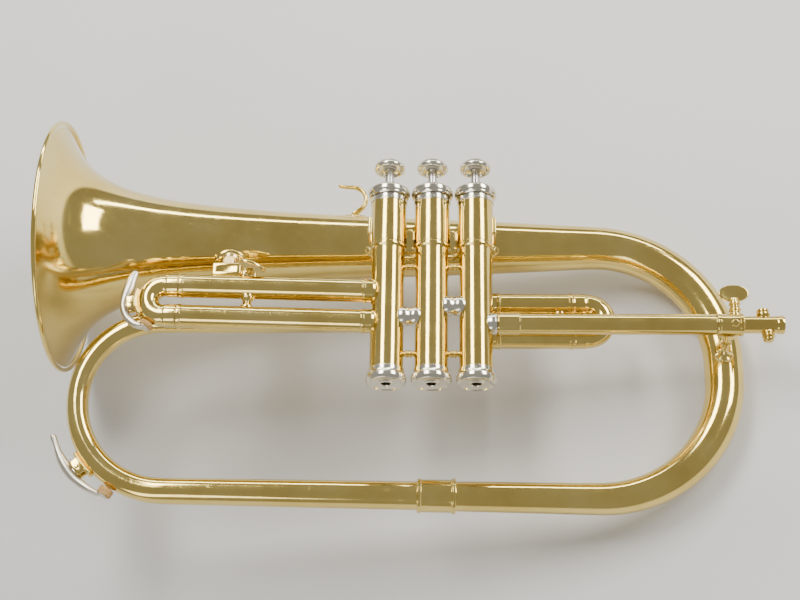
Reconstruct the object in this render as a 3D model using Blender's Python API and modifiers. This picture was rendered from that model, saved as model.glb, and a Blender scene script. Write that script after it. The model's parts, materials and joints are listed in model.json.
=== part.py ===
"""A flugelhorn as an assembly: bell, bow, three piston valves, slides, leadpipe and small fittings.

The parts are modelled in the instrument's own axes. The bell's axis is the X axis and its mouth faces -X,
the valves stand along Y with their buttons at +Y, and the valve side of the instrument faces +Z.
An empty then lays the instrument on its side, bell rim and bow down, with the origin under its middle.
Every size below is in millimetres; MM turns it into metres.
"""

import math

import bmesh
import bpy
from mathutils import Euler, Matrix, Vector

MM = 0.001
GAP = 0.3          # left between neighbours that touch on the real instrument
X, Y, Z = Vector((1, 0, 0)), Vector((0, 1, 0)), Vector((0, 0, 1))

# lying on its side: how the instrument's axes turn from the row's axes, and what lifts it to the table
REST_ROLL = math.radians(-0.38)
REST_PITCH = math.radians(9.473)

# bell
RIM_X = -224.5
RIM_R = 76.6
BEAD_R = 1.6
BELL_END_R = 73.0
BELL_WALL = 0.6
FLARE_A, FLARE_D, FLARE_G = 4659.0, 26.2, 1.351
FLARE_BASE, FLARE_TAPER = 20.04, 0.0239
TAPER_X = 30.0     # from here the bell tube tapers on into its crook
BELL_SIDES = 10    # half the sides of the bell's rings

# the loop, seen from the valve side
CROOK_X = 95.8
CROOK_R = 74.0
LOOP_DEPTH = 158.0
CROOK_TUBE_R = (12.4, 11.4, 9.1)
FERRULE_X = (-8.0, 14.0)
FERRULE_R = 9.2
BOW_R = (8.1, 7.4, 6.3, 5.8)
LOW_R, HIGH_R = 52.0, 45.0
LOW_X, HIGH_X = -150.2, -157.2
TAIL_Y, TAIL_Z = -59.0, 19.9
BOW_RISE = 0.0385  # how far the bottom bow climbs towards the valve side, per millimetre
BOW_WALL = 0.5

# valves
SPACING = 25.5
VALVE_X = (SPACING, 0.0, -SPACING)
VALVE_Z = 30.0
BARREL_R, CASING_R, BORE_R = 10.5, 9.4, 8.4
CAP_BOTTOM, BARREL_TOP, SEAM_Y, CASING_BOTTOM = 16.3, 20.0, -16.8, -96.0
CAP_R, CAP_TOP = 12.4, 24.0
FOOT_CAP_R = 11.7
FOOT_CAP_TOP, FOOT_CAP_END = -92.8, -101.6
STEM_R, BUTTON_R = 2.7, 9.5
BUTTON_LOW, BUTTON_TOP = 36.6, 42.6
FELT_H = 1.6
PISTON_TOP, PISTON_BOTTOM = 10.0, -72.0
PISTON_CLEAR = 0.3
SPRING_TURNS, SPRING_R, SPRING_WIRE = 5, 5.6, 0.45

# slides: outer sleeves soldered to the casings, and a bow that pulls out of them
SLEEVE_R, SLEEVE_WALL = 6.7, 0.55
INNER_R, INNER_WALL = 5.75, 0.5
THIRD_Z, THIRD_Y = VALVE_Z + 3.4, (-45.0, -64.1)
THIRD_TILT = math.radians(1.5)
THIRD_END, THIRD_BRACE_X = -145.5, -106.0
FIRST_Z, FIRST_Y = 17.6, (-46.5, -66.7)
FIRST_END, FIRST_BRACE_X = 82.0, 74.0
SECOND_Y, SECOND_END = (-52.0, -72.0), 1.0
SLIDE_INSERT = 34.0
SLEEVE_ROOT = -8.0  # the sleeves' closed ends reach this far past the casing's side and are cut to it
FERRULE_WALL = 0.75

# leadpipe
LEAD_Y, LEAD_Z = -64.8, 31.9
LEAD_R, LEAD_END = 5.9, 161.2
PIPE_R, PIPE_WALL = 4.95, 0.6
PIPE_START, PIPE_END = 112.0, 199.5
CLAMP_R, CLAMP_X, CLAMP_SCREW_X = 7.1, (161.6, 176.6), 172.6

# fittings
LYRE_AT = (-119.8, -28.8, 25.4)
LYRE_SIZE = (17.0, 8.4, 8.0)
LYRE_SOCKET = (6.2, 5.6)            # along X and Z; it runs through along Y, beside the bell
LYRE_FOOT_ANGLE = math.radians(41.4)  # where the foot stands on the bell, from -Y towards the valve side
LYRE_LUG, LYRE_LUG_AT = (9.4, 7.0, 3.4), (-107.3, -31.2, 23.9)
LYRE_SCREW_AT = (-107.1, -31.2, 26.9)
LYRE_SCREW_ALONG = (0.300, 0.0, 0.954)        # it leans out over the lug, away from the box
LYRE_PADDLE_ACROSS = (0.917, -0.278, -0.288)
HOOK_CENTRE, HOOK_R, HOOK_Z = (-49.5, 30.8), 8.75, 4.0
KEY_PIN_R, PAD_R = 0.9, 4.2


def start():
    for item in list(bpy.data.objects):
        bpy.data.objects.remove(item)
    parts = bpy.data.collections.new("flugelhorn")
    cutters = bpy.data.collections.new("cutters")
    for group in (parts, cutters):
        bpy.context.scene.collection.children.link(group)
    return parts, cutters


PARTS, CUTTERS = start()


def finish_material(name, colour, roughness, metallic):
    material = bpy.data.materials.new(name)
    material.use_nodes = True
    shader = material.node_tree.nodes["Principled BSDF"]
    shader.inputs["Base Color"].default_value = (*colour, 1.0)
    shader.inputs["Roughness"].default_value = roughness
    shader.inputs["Metallic"].default_value = metallic
    return material


BRASS = finish_material("lacquered_brass", (0.80, 0.60, 0.24), 0.12, 1.0)
NICKEL = finish_material("nickel_silver", (0.78, 0.75, 0.68), 0.15, 1.0)
MONEL = finish_material("monel", (0.62, 0.60, 0.57), 0.25, 1.0)
STEEL = finish_material("spring_steel", (0.55, 0.55, 0.55), 0.30, 1.0)
FELT = finish_material("felt", (0.75, 0.72, 0.66), 0.95, 0.0)
CORK = finish_material("cork", (0.62, 0.44, 0.27), 0.85, 0.0)


def empty(name, at=(0, 0, 0), turn=(0, 0, 0), parent=None):
    holder = bpy.data.objects.new(name, None)
    PARTS.objects.link(holder)
    holder.location = Vector(at) * MM
    holder.rotation_euler = turn
    holder.parent = parent
    return holder


INSTRUMENT = empty("instrument")


def place(item, material, parent=None, at=(0, 0, 0), along=None):
    """Link one part, put its origin at a point and turn its Z axis along a direction."""
    PARTS.objects.link(item)
    item.parent = parent or INSTRUMENT
    item.location = Vector(at) * MM
    if along is not None:
        item.rotation_mode = "QUATERNION"
        item.rotation_quaternion = Z.rotation_difference(Vector(along).normalized())
    item.data.materials.append(material)
    return item


def ring_modifier(item, steps):
    screw = item.modifiers.new("turn", "SCREW")
    screw.axis = "Z"
    screw.angle = math.tau
    screw.steps = screw.render_steps = steps
    screw.use_merge_vertices = True
    screw.merge_threshold = 0.00001


def profile_mesh(name, outline, closed):
    """A polyline in the XZ plane from (radius, height) pairs, running down its outer side."""
    shape = bmesh.new()
    points = [shape.verts.new((r * MM, 0, h * MM)) for r, h in outline]
    for first, second in zip(points, points[1:]):
        shape.edges.new((first, second))
    if closed:
        shape.edges.new((points[-1], points[0]))
    mesh = bpy.data.meshes.new(name)
    shape.to_mesh(mesh)
    shape.free()
    return mesh


def turned(name, material, outline, at, along, steps=16, parent=None, hollow=False):
    """A lathe part. A solid one starts and ends on the axis; a hollow one is a closed outline."""
    item = bpy.data.objects.new(name, profile_mesh(name, outline, hollow))
    place(item, material, parent, at, along)
    ring_modifier(item, steps)
    return item


def pipe_outline(outer, inner, low, high):
    return [(outer, high), (outer, low), (inner, low), (inner, high)]


def path_curve(name, stations, sides, caps):
    """A poly curve through (x, y, z, radius) stations; sides is half the number of faces round it."""
    curve = bpy.data.curves.new(name, "CURVE")
    curve.dimensions = "3D"
    curve.twist_mode = "MINIMUM"
    curve.bevel_mode = "ROUND"
    curve.bevel_depth = MM
    curve.bevel_resolution = sides - 2
    curve.use_fill_caps = caps
    line = curve.splines.new("POLY")
    line.points.add(len(stations) - 1)
    for point, (x, y, z, radius) in zip(line.points, stations):
        point.co = (x * MM, y * MM, z * MM, 1)
        point.radius = radius
    return curve


def mesh_of(item):
    """Turn a curve or an object with modifiers into one plain mesh object with welded caps."""
    bpy.context.view_layer.update()
    evaluated = item.evaluated_get(bpy.context.evaluated_depsgraph_get())
    mesh = bpy.data.meshes.new_from_object(evaluated)
    shape = bmesh.new()
    shape.from_mesh(mesh)
    bmesh.ops.remove_doubles(shape, verts=shape.verts, dist=0.00001)
    bmesh.ops.recalc_face_normals(shape, faces=shape.faces)
    shape.to_mesh(mesh)
    shape.free()
    solid = bpy.data.objects.new(item.name, mesh)
    PARTS.objects.link(solid)
    solid.parent = item.parent
    solid.location = item.location
    solid.rotation_mode = item.rotation_mode
    solid.rotation_euler = item.rotation_euler
    solid.rotation_quaternion = item.rotation_quaternion
    name = item.name
    bpy.data.objects.remove(item)
    solid.name = name
    return solid


def swept_rod(name, material, stations, sides=4, parent=None, at=(0, 0, 0)):
    item = bpy.data.objects.new(name, path_curve(name, stations, sides, True))
    return mesh_of(place(item, material, parent, at))


def swept_pipe(name, material, stations, wall, sides=6, parent=None, at=(0, 0, 0)):
    """A hollow tube along a path: the curve's open skin, thickened inwards."""
    item = place(bpy.data.objects.new(name, path_curve(name, stations, sides, False)), material, parent, at)
    skin = mesh_of(item)
    face = skin.data.polygons[0]
    if face.normal.dot(face.center - Vector(stations[0][:3]) * MM) < 0:
        skin.data.flip_normals()
    shell = skin.modifiers.new("wall", "SOLIDIFY")
    shell.thickness = wall * MM
    shell.offset = -1
    shell.use_even_offset = True
    return mesh_of(skin)


def cutter(name, outline, at, along, steps=24, parent=None):
    item = bpy.data.objects.new(name, profile_mesh(name, outline, False))
    CUTTERS.objects.link(item)
    item.parent = parent or INSTRUMENT
    item.location = Vector(at) * MM
    item.rotation_mode = "QUATERNION"
    item.rotation_quaternion = Z.rotation_difference(Vector(along).normalized())
    ring_modifier(item, steps)
    item.hide_render = True
    item.display_type = "WIRE"
    return item


def cut(item, *tools):
    for tool in tools:
        boolean = item.modifiers.new(tool.name, "BOOLEAN")
        boolean.operation = "DIFFERENCE"
        boolean.object = tool
    return item


def joined(item, *others):
    """Solder other shapes on: each becomes a hidden operand of a union."""
    for other in others:
        hide_tool(other)
        boolean = item.modifiers.new(other.name, "BOOLEAN")
        boolean.operation = "UNION"
        boolean.object = other
    return item


def hide_tool(item):
    """Move a solid to the cutters, out of the model."""
    PARTS.objects.unlink(item)
    CUTTERS.objects.link(item)
    item.hide_render = True
    item.display_type = "WIRE"
    return item


def block(name, material, size, at, parent=None, turn=(0, 0, 0), bevel=0.6):
    shape = bmesh.new()
    bmesh.ops.create_cube(shape, size=1.0)
    bmesh.ops.scale(shape, vec=Vector(size) * MM, verts=shape.verts)
    mesh = bpy.data.meshes.new(name)
    shape.to_mesh(mesh)
    shape.free()
    item = place(bpy.data.objects.new(name, mesh), material, parent, at)
    item.rotation_euler = turn
    if bevel:
        edge = item.modifiers.new("edge", "BEVEL")
        edge.width = bevel * MM
        edge.segments = 1
    return item


def flat_plate(name, material, outline, thickness, at, turn=(0, 0, 0), parent=None):
    """A flat outline in its own XY plane, extruded both ways."""
    curve = bpy.data.curves.new(name, "CURVE")
    curve.dimensions = "2D"
    curve.fill_mode = "BOTH"
    curve.extrude = thickness * MM / 2
    line = curve.splines.new("POLY")
    line.points.add(len(outline) - 1)
    for point, (x, y) in zip(line.points, outline):
        point.co = (x * MM, y * MM, 0, 1)
    line.use_cyclic_u = True
    item = place(bpy.data.objects.new(name, curve), material, parent, at)
    item.rotation_euler = turn
    return mesh_of(item)


def arc(centre, radius, start, end, count):
    """Points on a circle in the XY plane, angles in degrees, both ends included."""
    angles = [math.radians(start + (end - start) * i / (count - 1)) for i in range(count)]
    return [(centre[0] + radius * math.cos(a), centre[1] + radius * math.sin(a)) for a in angles]


def blend(low, high, share):
    return low + (high - low) * min(1.0, max(0.0, share))


# ---------------------------------------------------------------- bell and loop

def flare_radius(x):
    run = x - RIM_X
    return FLARE_A * (run + FLARE_D) ** -FLARE_G + FLARE_BASE - FLARE_TAPER * run


def flare_start():
    """Where the bell sheet meets the bead: the station whose radius is BELL_END_R."""
    low, high = RIM_X, RIM_X + 10
    for _ in range(30):
        middle = (low + high) / 2
        low, high = (middle, high) if flare_radius(middle) > BELL_END_R else (low, middle)
    return low


def bow_height(x):
    """How far the bottom bow has climbed towards the valve side at x."""
    return BOW_RISE * (CROOK_X - x)


def bell_stations():
    first = flare_start()
    flare = [first + step for step in (0, 2.2, 6, 12, 20, 32, 50, 76, 112, 155, 205)]
    stations = [(x, 0, 0, flare_radius(x)) for x in flare]
    end_r = flare_radius(TAPER_X)
    stations.append((TAPER_X, 0, 0, end_r))
    upper = arc((CROOK_X, -CROOK_R), CROOK_R, 90, 0, 8)
    lower = arc((CROOK_X, CROOK_R - LOOP_DEPTH), CROOK_R, 0, -90, 8)
    for i, (x, y) in enumerate(upper):
        start = blend(end_r, CROOK_TUBE_R[0], (CROOK_X - TAPER_X) / 75)
        stations.append((x, y, 0, blend(start, CROOK_TUBE_R[1], i / 7)))
    for i, (x, y) in enumerate(lower):
        stations.append((x, y, 0, blend(CROOK_TUBE_R[1], CROOK_TUBE_R[2], i / 7)))
    last = FERRULE_X[1] - 6.0
    stations.append((last, -LOOP_DEPTH, bow_height(last), 8.35))
    return stations


def bell_cutter():
    """A solid a gap wider than the bell tube, that its fittings are cut back from."""
    heights = [TAPER_X, 0, -30, -60, -90, -110, -130, -140]
    outline = [(flare_radius(x) + 2 * GAP, x) for x in heights]
    end_r = flare_radius(TAPER_X) + (CROOK_TUBE_R[0] - flare_radius(TAPER_X)) * 30 / 75
    outline = [(0, 60), (end_r + 2 * GAP, 60)] + outline + [(0, heights[-1])]
    return cutter("around_bell", outline, (0, 0, 0), X)


def bell():
    swept_pipe("bell", BRASS, bell_stations(), BELL_WALL, BELL_SIDES)
    bead = [(RIM_R - BEAD_R + BEAD_R * math.cos(a), BEAD_R * math.sin(a))
            for a in [math.tau * -i / 6 for i in range(6)]]
    turned("bell_rim_bead", BRASS, bead, (RIM_X + 0.8, 0, 0), X, 28, hollow=True)


def bow_ferrule():
    low, high = FERRULE_X
    length = high - low
    r = FERRULE_R
    outline = [(r, length), (r + 0.9, length - 0.3), (r + 0.9, length - 2.2), (r, length - 2.6), (r, 2.2),
               (r + 0.5, 1.9), (r + 0.5, 0.4), (r, 0), (r - 0.5, 0), (r - 0.5, length)]
    at = (low, -LOOP_DEPTH, bow_height(low))
    turned("bow_ferrule", BRASS, outline, at, (1, 0, -BOW_RISE), 16, hollow=True)


def bow_stations():
    right = FERRULE_X[1] - 6.0 - 2 * GAP
    stations = [(x, -LOOP_DEPTH, bow_height(x), radius)
                for x, radius in ((right, BOW_R[0]), (-60.0, 7.9), (LOW_X, BOW_R[1]))]
    low = arc((LOW_X, LOW_R - LOOP_DEPTH), LOW_R, 270, 180, 9)[1:]
    high = arc((HIGH_X, TAIL_Y - HIGH_R), HIGH_R, 180, 90, 8)
    base = bow_height(LOW_X)
    round_end = low + high
    for i, (x, y) in enumerate(round_end):
        share = (i + 1) / len(round_end)
        ease = share * share * (3 - 2 * share)
        stations.append((x, y, blend(base, TAIL_Z, ease), blend(BOW_R[1], BOW_R[2], share * 2)))
    stations.append((-60.0, TAIL_Y, TAIL_Z, BOW_R[3]))
    stations.append((-44.0, TAIL_Y, TAIL_Z, BOW_R[3]))
    stations.append((-36.0, TAIL_Y, TAIL_Z + 0.8, BOW_R[3]))
    stations.append((-28.5, TAIL_Y, TAIL_Z + 2.6, BOW_R[3]))
    return stations


def bottom_bow(casing_tools):
    pipe = swept_pipe("bottom_bow", BRASS, bow_stations(), BOW_WALL, 6)
    cut(pipe, casing_tools[2])


# ---------------------------------------------------------------- valves

def casing_cutter(number):
    """A solid a gap wider than a casing, that neighbours are cut back from."""
    r, wide = CASING_R + GAP, BARREL_R + GAP
    outline = [(0, 30), (wide, 30), (wide, SEAM_Y - 1), (r, SEAM_Y - 1.5), (r, -110), (0, -110)]
    return cutter(f"around_casing_{number}", outline, (VALVE_X[number - 1], 0, VALVE_Z), Y)


def casing(number):
    outline = [(BARREL_R - 1.2, BARREL_TOP), (BARREL_R - 1.2, CAP_BOTTOM - 1), (BARREL_R, CAP_BOTTOM - 1.2),
               (BARREL_R, SEAM_Y + 1.5), (BARREL_R + 0.3, SEAM_Y + 1.2), (BARREL_R + 0.3, SEAM_Y),
               (CASING_R, SEAM_Y - 0.8), (CASING_R, FOOT_CAP_TOP + 0.6), (CASING_R - 0.4, FOOT_CAP_TOP + 0.3),
               (CASING_R - 0.4, CASING_BOTTOM), (BORE_R, CASING_BOTTOM), (BORE_R, BARREL_TOP)]
    turned(f"valve_casing_{number}", BRASS, outline, (VALVE_X[number - 1], 0, VALVE_Z), Y, 16, hollow=True)


def top_cap(number):
    hole = STEM_R + 0.35
    outline = [(hole, CAP_TOP), (6.0, CAP_TOP), (CAP_R - 1.0, CAP_TOP - 1.4), (CAP_R, CAP_TOP - 2.8),
               (CAP_R, CAP_BOTTOM + 0.9), (CAP_R - 0.9, CAP_BOTTOM), (BARREL_R - 0.8, CAP_BOTTOM),
               (BARREL_R - 0.8, BARREL_TOP + GAP), (hole, BARREL_TOP + GAP)]
    turned(f"top_cap_{number}", NICKEL, outline, (VALVE_X[number - 1], 0, VALVE_Z), Y, 16, hollow=True)


def bottom_cap(number):
    inner = CASING_R + 0.05
    end = FOOT_CAP_END
    outline = [(inner + 0.9, FOOT_CAP_TOP), (inner + 0.9, end + 5.2), (FOOT_CAP_R - 0.4, end + 4.6),
               (FOOT_CAP_R, end + 3.2), (FOOT_CAP_R - 0.5, end + 1.2), (8.6, end), (2.8, end),
               (2.8, CASING_BOTTOM - 1.2), (BORE_R, CASING_BOTTOM - GAP), (inner, CASING_BOTTOM - GAP),
               (inner, FOOT_CAP_TOP)]
    turned(f"bottom_cap_{number}", NICKEL, outline, (VALVE_X[number - 1], 0, VALVE_Z), Y, 16, hollow=True)


def piston(number):
    """Piston with its stem: hollow from below, its three wind passages left closed."""
    r = BORE_R - PISTON_CLEAR
    bottom = PISTON_BOTTOM
    outline = [(0, BUTTON_LOW + 1.7), (STEM_R, BUTTON_LOW + 1.7), (STEM_R, PISTON_TOP + 0.6),
               (r - 1.0, PISTON_TOP), (r, PISTON_TOP - 1.0), (r, bottom), (r - 1.2, bottom),
               (r - 1.2, PISTON_TOP - 3.0), (0, PISTON_TOP - 3.0)]
    turned(f"piston_{number}", MONEL, outline, (VALVE_X[number - 1], 0, VALVE_Z), Y, 12)


def finger_button(number):
    """A mushroom dish with a raised step on top and a hollow underside."""
    low, top = BUTTON_LOW, BUTTON_TOP
    outline = [(0, top), (4.2, top - 0.2), (5.3, top - 1.0), (5.8, top - 1.8), (BUTTON_R - 1.4, low + 3.2),
               (BUTTON_R, low + 1.6), (BUTTON_R - 0.4, low + 0.6), (BUTTON_R - 1.4, low + 0.7),
               (4.4, low + 2.0), (0, low + 2.0)]
    turned(f"finger_button_{number}", NICKEL, outline, (VALVE_X[number - 1], 0, VALVE_Z), Y, 12)


def button_felt(number):
    top = BUTTON_LOW + 1.7
    outline = pipe_outline(4.2, STEM_R + 0.3, top - FELT_H, top)
    turned(f"button_felt_{number}", FELT, outline, (VALVE_X[number - 1], 0, VALVE_Z), Y, 12, hollow=True)


def piston_spring(number):
    low, high = CASING_BOTTOM + 0.6, PISTON_BOTTOM - GAP - SPRING_WIRE
    per_turn = 7
    count = SPRING_TURNS * per_turn + 1
    stations = []
    for i in range(count):
        turn = math.tau * i / per_turn
        height = blend(low, high, i / (count - 1))
        stations.append((SPRING_R * math.cos(turn), height, SPRING_R * math.sin(turn), SPRING_WIRE))
    swept_rod(f"piston_spring_{number}", STEEL, stations, 2, at=(VALVE_X[number - 1], 0, VALVE_Z))


def between_casings(tools):
    """Knuckle ports and brace rods that join neighbouring casings."""
    pairs = {"3_2": (-SPACING / 2, -60.5, tools[2], tools[1]),
             "2_1": (SPACING / 2, -53.8, tools[1], tools[0])}
    half = SPACING / 2 - 4
    for label, (x, port_y, left, right) in pairs.items():
        outline = [(0, half), (6.6, half), (6.6, 2.6), (5.6, 1.6), (5.6, -1.6), (6.6, -2.6), (6.6, -half),
                   (0, -half)]
        port = turned(f"knuckle_{label}", NICKEL, outline, (x, port_y, VALVE_Z + 2.0), X, 16)
        cut(port, left, right)
        for level, y in (("upper", -28.2), ("lower", -82.8)):
            reach = SPACING / 2 - CASING_R - GAP - 0.15
            rod = [(0, reach), (2.1, reach), (1.5, reach - 1.0), (1.5, 1.3), (2.3, 0.6), (2.3, -0.6),
                   (1.5, -1.3), (1.5, 1.0 - reach), (2.1, -reach), (0, -reach)]
            turned(f"brace_rod_{level}_{label}", BRASS, rod, (x, y, VALVE_Z), X, 10)


def bell_brackets(tools, bell_tool):
    """Plates that hold the outer casings to the bell tube."""
    for label, x, tool in (("left", -SPACING - 10.4, tools[2]), ("right", SPACING + 10.4, tools[0])):
        plate = block(f"bell_bracket_{label}", BRASS, (3.4, 11.0, 17.0), (x, -1.0, 23.5))
        cut(plate, tool, bell_tool)


# ---------------------------------------------------------------- slides

def slide_frame(name, y_pair, z, tilt, side):
    """An empty on the slide's middle line; its X axis points out of the valve block."""
    turn = (0, 0, tilt if side > 0 else math.pi - tilt)
    return empty(name, (side * (SPACING + CASING_R), sum(y_pair) / 2, z), turn, INSTRUMENT)


def sleeve_pair(label, holder, half, length, tool, brace_at=None):
    """Two outer tubes with thicker end ferrules, soldered together by a turned brace where there is one."""
    tubes, bores = [], []
    for level, side in (("upper", 1), ("lower", -1)):
        outline = [(0, length), (SLEEVE_R + 0.35, length), (SLEEVE_R + 0.35, length - 2.5),
                   (SLEEVE_R, length - 3.0),
                   (SLEEVE_R, 7.0), (SLEEVE_R + 0.5, 6.5), (SLEEVE_R + 0.5, SLEEVE_ROOT + 5.0),
                   (SLEEVE_R - 2.0, SLEEVE_ROOT + 1.0), (0, SLEEVE_ROOT)]
        name = f"{label}_slide_sleeve_{level}"
        tubes.append(turned(name, BRASS, outline, (0, side * half, 0), X, 12, holder))
        bore = SLEEVE_R - SLEEVE_WALL
        hole = [(0, length + 1), (bore, length + 1), (bore, 2.5), (0, 2.5)]
        bores.append(cutter(f"{name}_bore", hole, (0, side * half, 0), X, 12, holder))
    if brace_at is None:
        for tube, bore in zip(tubes, bores):
            cut(tube, bore, tool)
        return
    post = [(0, half), (3.4, half), (3.4, half - SLEEVE_R - 0.6), (1.7, 0.5), (1.7, -0.5),
            (3.4, SLEEVE_R + 0.6 - half), (3.4, -half), (0, -half)]
    brace = turned(f"{label}_slide_brace", BRASS, post, (brace_at, 0, 0), Y, 10, holder)
    frame, other = tubes
    joined(frame, brace, other)
    cut(frame, *bores, tool)
    weld = frame.modifiers.new("weld", "WELD")
    weld.merge_threshold = 0.00002
    frame.name = f"{label}_slide_sleeves"


def slide_bow(name, holder, half, mouth, insert, sides=5):
    """The sliding U: two inner tubes inside the sleeves, thick ferrules outside them, and the bend."""
    bend = half
    stations = []
    for side in (1, -1):
        leg = [(mouth - insert, INNER_R), (mouth + GAP, INNER_R), (mouth + GAP + 0.1, SLEEVE_R),
               (mouth + 8.0, SLEEVE_R)]
        leg = [(x, side * half, 0, r) for x, r in leg]
        if side > 0:
            stations += leg
            turn = arc((mouth + 8.0, 0), bend, 90, -90, 9)
            stations += [(x, y, 0, SLEEVE_R - FERRULE_WALL / 2) for x, y in turn]
        else:
            stations += leg[::-1]
    return swept_pipe(name, BRASS, stations, INNER_WALL, sides, holder)


def third_slide(tool):
    half = (THIRD_Y[0] - THIRD_Y[1]) / 2
    holder = slide_frame("third_slide_axis", THIRD_Y, THIRD_Z, THIRD_TILT, -1)
    length = -THIRD_END - SPACING - CASING_R
    sleeve_pair("third", holder, half, length, tool, -THIRD_BRACE_X - SPACING - CASING_R)
    slide_bow("third_slide_bow", holder, half, length, SLIDE_INSERT)
    third_slide_key(holder, half, length)


def first_slide(tool):
    half = (FIRST_Y[0] - FIRST_Y[1]) / 2
    holder = slide_frame("first_slide_axis", FIRST_Y, FIRST_Z, 0.0, 1)
    length = FIRST_END - SPACING - CASING_R
    sleeve_pair("first", holder, half, length, tool, FIRST_BRACE_X - SPACING - CASING_R)
    slide_bow("first_slide_bow", holder, half, length, 28.0)


def second_slide(tool):
    half = (SECOND_Y[0] - SECOND_Y[1]) / 2
    start = VALVE_Z - CASING_R
    holder = empty("second_slide_axis", (0, sum(SECOND_Y) / 2, start), (0, math.pi / 2, 0), INSTRUMENT)
    length = start - SECOND_END
    sleeve_pair("second", holder, half, length, tool)
    slide_bow("second_slide_bow", holder, half, length, 14.0)


# ---------------------------------------------------------------- leadpipe

def leadpipe(tool):
    at = (0, LEAD_Y, LEAD_Z)
    start = SPACING + CASING_R
    knuckle = [(6.0, 37.5), (6.5, 36.2), (6.3, 34.2), (6.3, 30.0), (5.2, 30.0), (5.2, 37.5)]
    cut(turned("leadpipe_knuckle", NICKEL, knuckle, at, X, 16, hollow=True), tool)
    outline = [(LEAD_R, LEAD_END), (LEAD_R, 50.6), (LEAD_R + 0.5, 50.0), (LEAD_R + 0.5, start + 2.9),
               (LEAD_R - 0.7, start + 2.9), (LEAD_R - 0.7, LEAD_END)]
    turned("leadpipe_sleeve", BRASS, outline, at, X, 16, hollow=True)
    bore, r = PIPE_R - PIPE_WALL, PIPE_R
    outline = [(0, PIPE_END), (r - 0.1, PIPE_END), (r, PIPE_END - 1.0), (r, PIPE_START), (0, PIPE_START)]
    pipe = turned("mouthpipe", BRASS, outline, at, X, 16)
    knob = [(0, r + 5.6), (2.6, r + 5.6), (3.4, r + 4.8), (3.4, r + 3.4), (2.4, r + 2.8), (2.9, r + 2.0),
            (2.9, 0), (0, 0)]
    knobs = [turned(f"pull_knob_{label}", BRASS, knob, (x, LEAD_Y, LEAD_Z), (0, side, 0), 12)
             for label, x, side in (("upper", 188.2, 1), ("lower", 190.3, -1))]
    hole = [(0, PIPE_END + 1), (bore, PIPE_END + 1), (bore, PIPE_START - 1), (0, PIPE_START - 1)]
    joined(pipe, *knobs)
    cut(pipe, cutter("mouthpipe_bore", hole, at, X, 16))


def thumbscrew(name, at, along, turn, length, paddle_size):
    """A round shaft with a collar and a flat oval paddle on its end.

    paddle_size is the paddle's half length along the shaft and its half width across it.
    """
    stem = [(0, length + 2.0), (2.2, length + 2.0), (2.2, length - 2.4), (3.3, length - 2.8), (3.3, 1.6),
            (2.6, 1.2), (2.6, 0), (0, 0)]
    shaft = turned(name, BRASS, stem, at, along, 12)
    long, wide = paddle_size
    oval = [(long * math.cos(a), wide * math.sin(a)) for a in [math.tau * i / 16 for i in range(16)]]
    centre = Vector(at) + Vector(along) * (length + long - 0.6)
    joined(shaft, flat_plate(f"{name}_paddle", BRASS, oval, 1.7, centre, turn))


def clamp():
    """A split ring round the sleeve's end, drawn together by a thumbscrew."""
    low, high = CLAMP_X
    outline = pipe_outline(CLAMP_R, PIPE_R + 0.3, 0, high - low)
    turned("clamp_ring", BRASS, outline, (low, LEAD_Y, LEAD_Z), X, 16, hollow=True)
    base = (CLAMP_SCREW_X, LEAD_Y + CLAMP_R + GAP, LEAD_Z)
    thumbscrew("clamp_screw", base, Y, (0, 0, math.pi / 2), 7.6, (5.2, 8.8))


def leadpipe_brace():
    """A turned post between the leadpipe and the bell crook, its ends shaped to both tubes."""
    foot = Vector((168.5, -75.0, 9.0))
    along = Vector((168.5, LEAD_Y, LEAD_Z)) - foot
    length = along.length
    top = length - CLAMP_R
    outline = [(0, length), (5.0, length), (5.0, top - 1.4), (2.4, top - 2.6), (1.8, 12.6), (3.1, 11.0),
               (1.8, 9.4), (2.2, 4.6), (5.2, 3.4), (5.2, 0), (0, 0)]
    brace = turned("leadpipe_brace", BRASS, outline, foot, along, 12)
    pipe, tube = CLAMP_R + 2 * GAP, CROOK_TUBE_R[1] + 2 * GAP
    crook_x = CROOK_X + CROOK_R
    cut(brace, cutter("around_clamp", [(0, 180), (pipe, 180), (pipe, 150), (0, 150)], (0, LEAD_Y, LEAD_Z), X),
        cutter("around_crook", [(0, -60), (tube, -60), (tube, -95), (0, -95)], (crook_x, 0, 0), Y))


# ---------------------------------------------------------------- fittings

def lyre_holder(bell_tool):
    """A box on a domed foot. The lyre's stem goes down through it, past the bell, and notches the dome."""
    x = LYRE_AT[0]
    box = block("lyre_box", BRASS, LYRE_SIZE, LYRE_AT, bevel=1.0)
    out = Vector((0, -math.cos(LYRE_FOOT_ANGLE), math.sin(LYRE_FOOT_ANGLE)))
    sunk = flare_radius(x) - 1.0
    outline = [(0, 12.0), (2.2, 11.6), (4.2, 10.0), (5.4, 7.6), (5.5, 4.4), (8.0, 2.4), (8.0, 0), (0, 0)]
    foot = turned("lyre_foot", BRASS, outline, Vector((x, 0, 0)) + out * sunk, out, 16)
    joined(box, foot, block("lyre_lug", BRASS, LYRE_LUG, LYRE_LUG_AT, bevel=0))
    wide, deep = LYRE_SOCKET
    socket = block("lyre_socket", BRASS, (wide, 24.0, deep), LYRE_AT, bevel=0)
    cut(box, bell_tool, hide_tool(socket))
    along, across = Vector(LYRE_SCREW_ALONG), Vector(LYRE_PADDLE_ACROSS)
    turn = Matrix((along, across, along.cross(across))).transposed().to_euler()
    thumbscrew("lyre_screw", LYRE_SCREW_AT, along, turn, 6.6, (4.8, 8.3))


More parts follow.
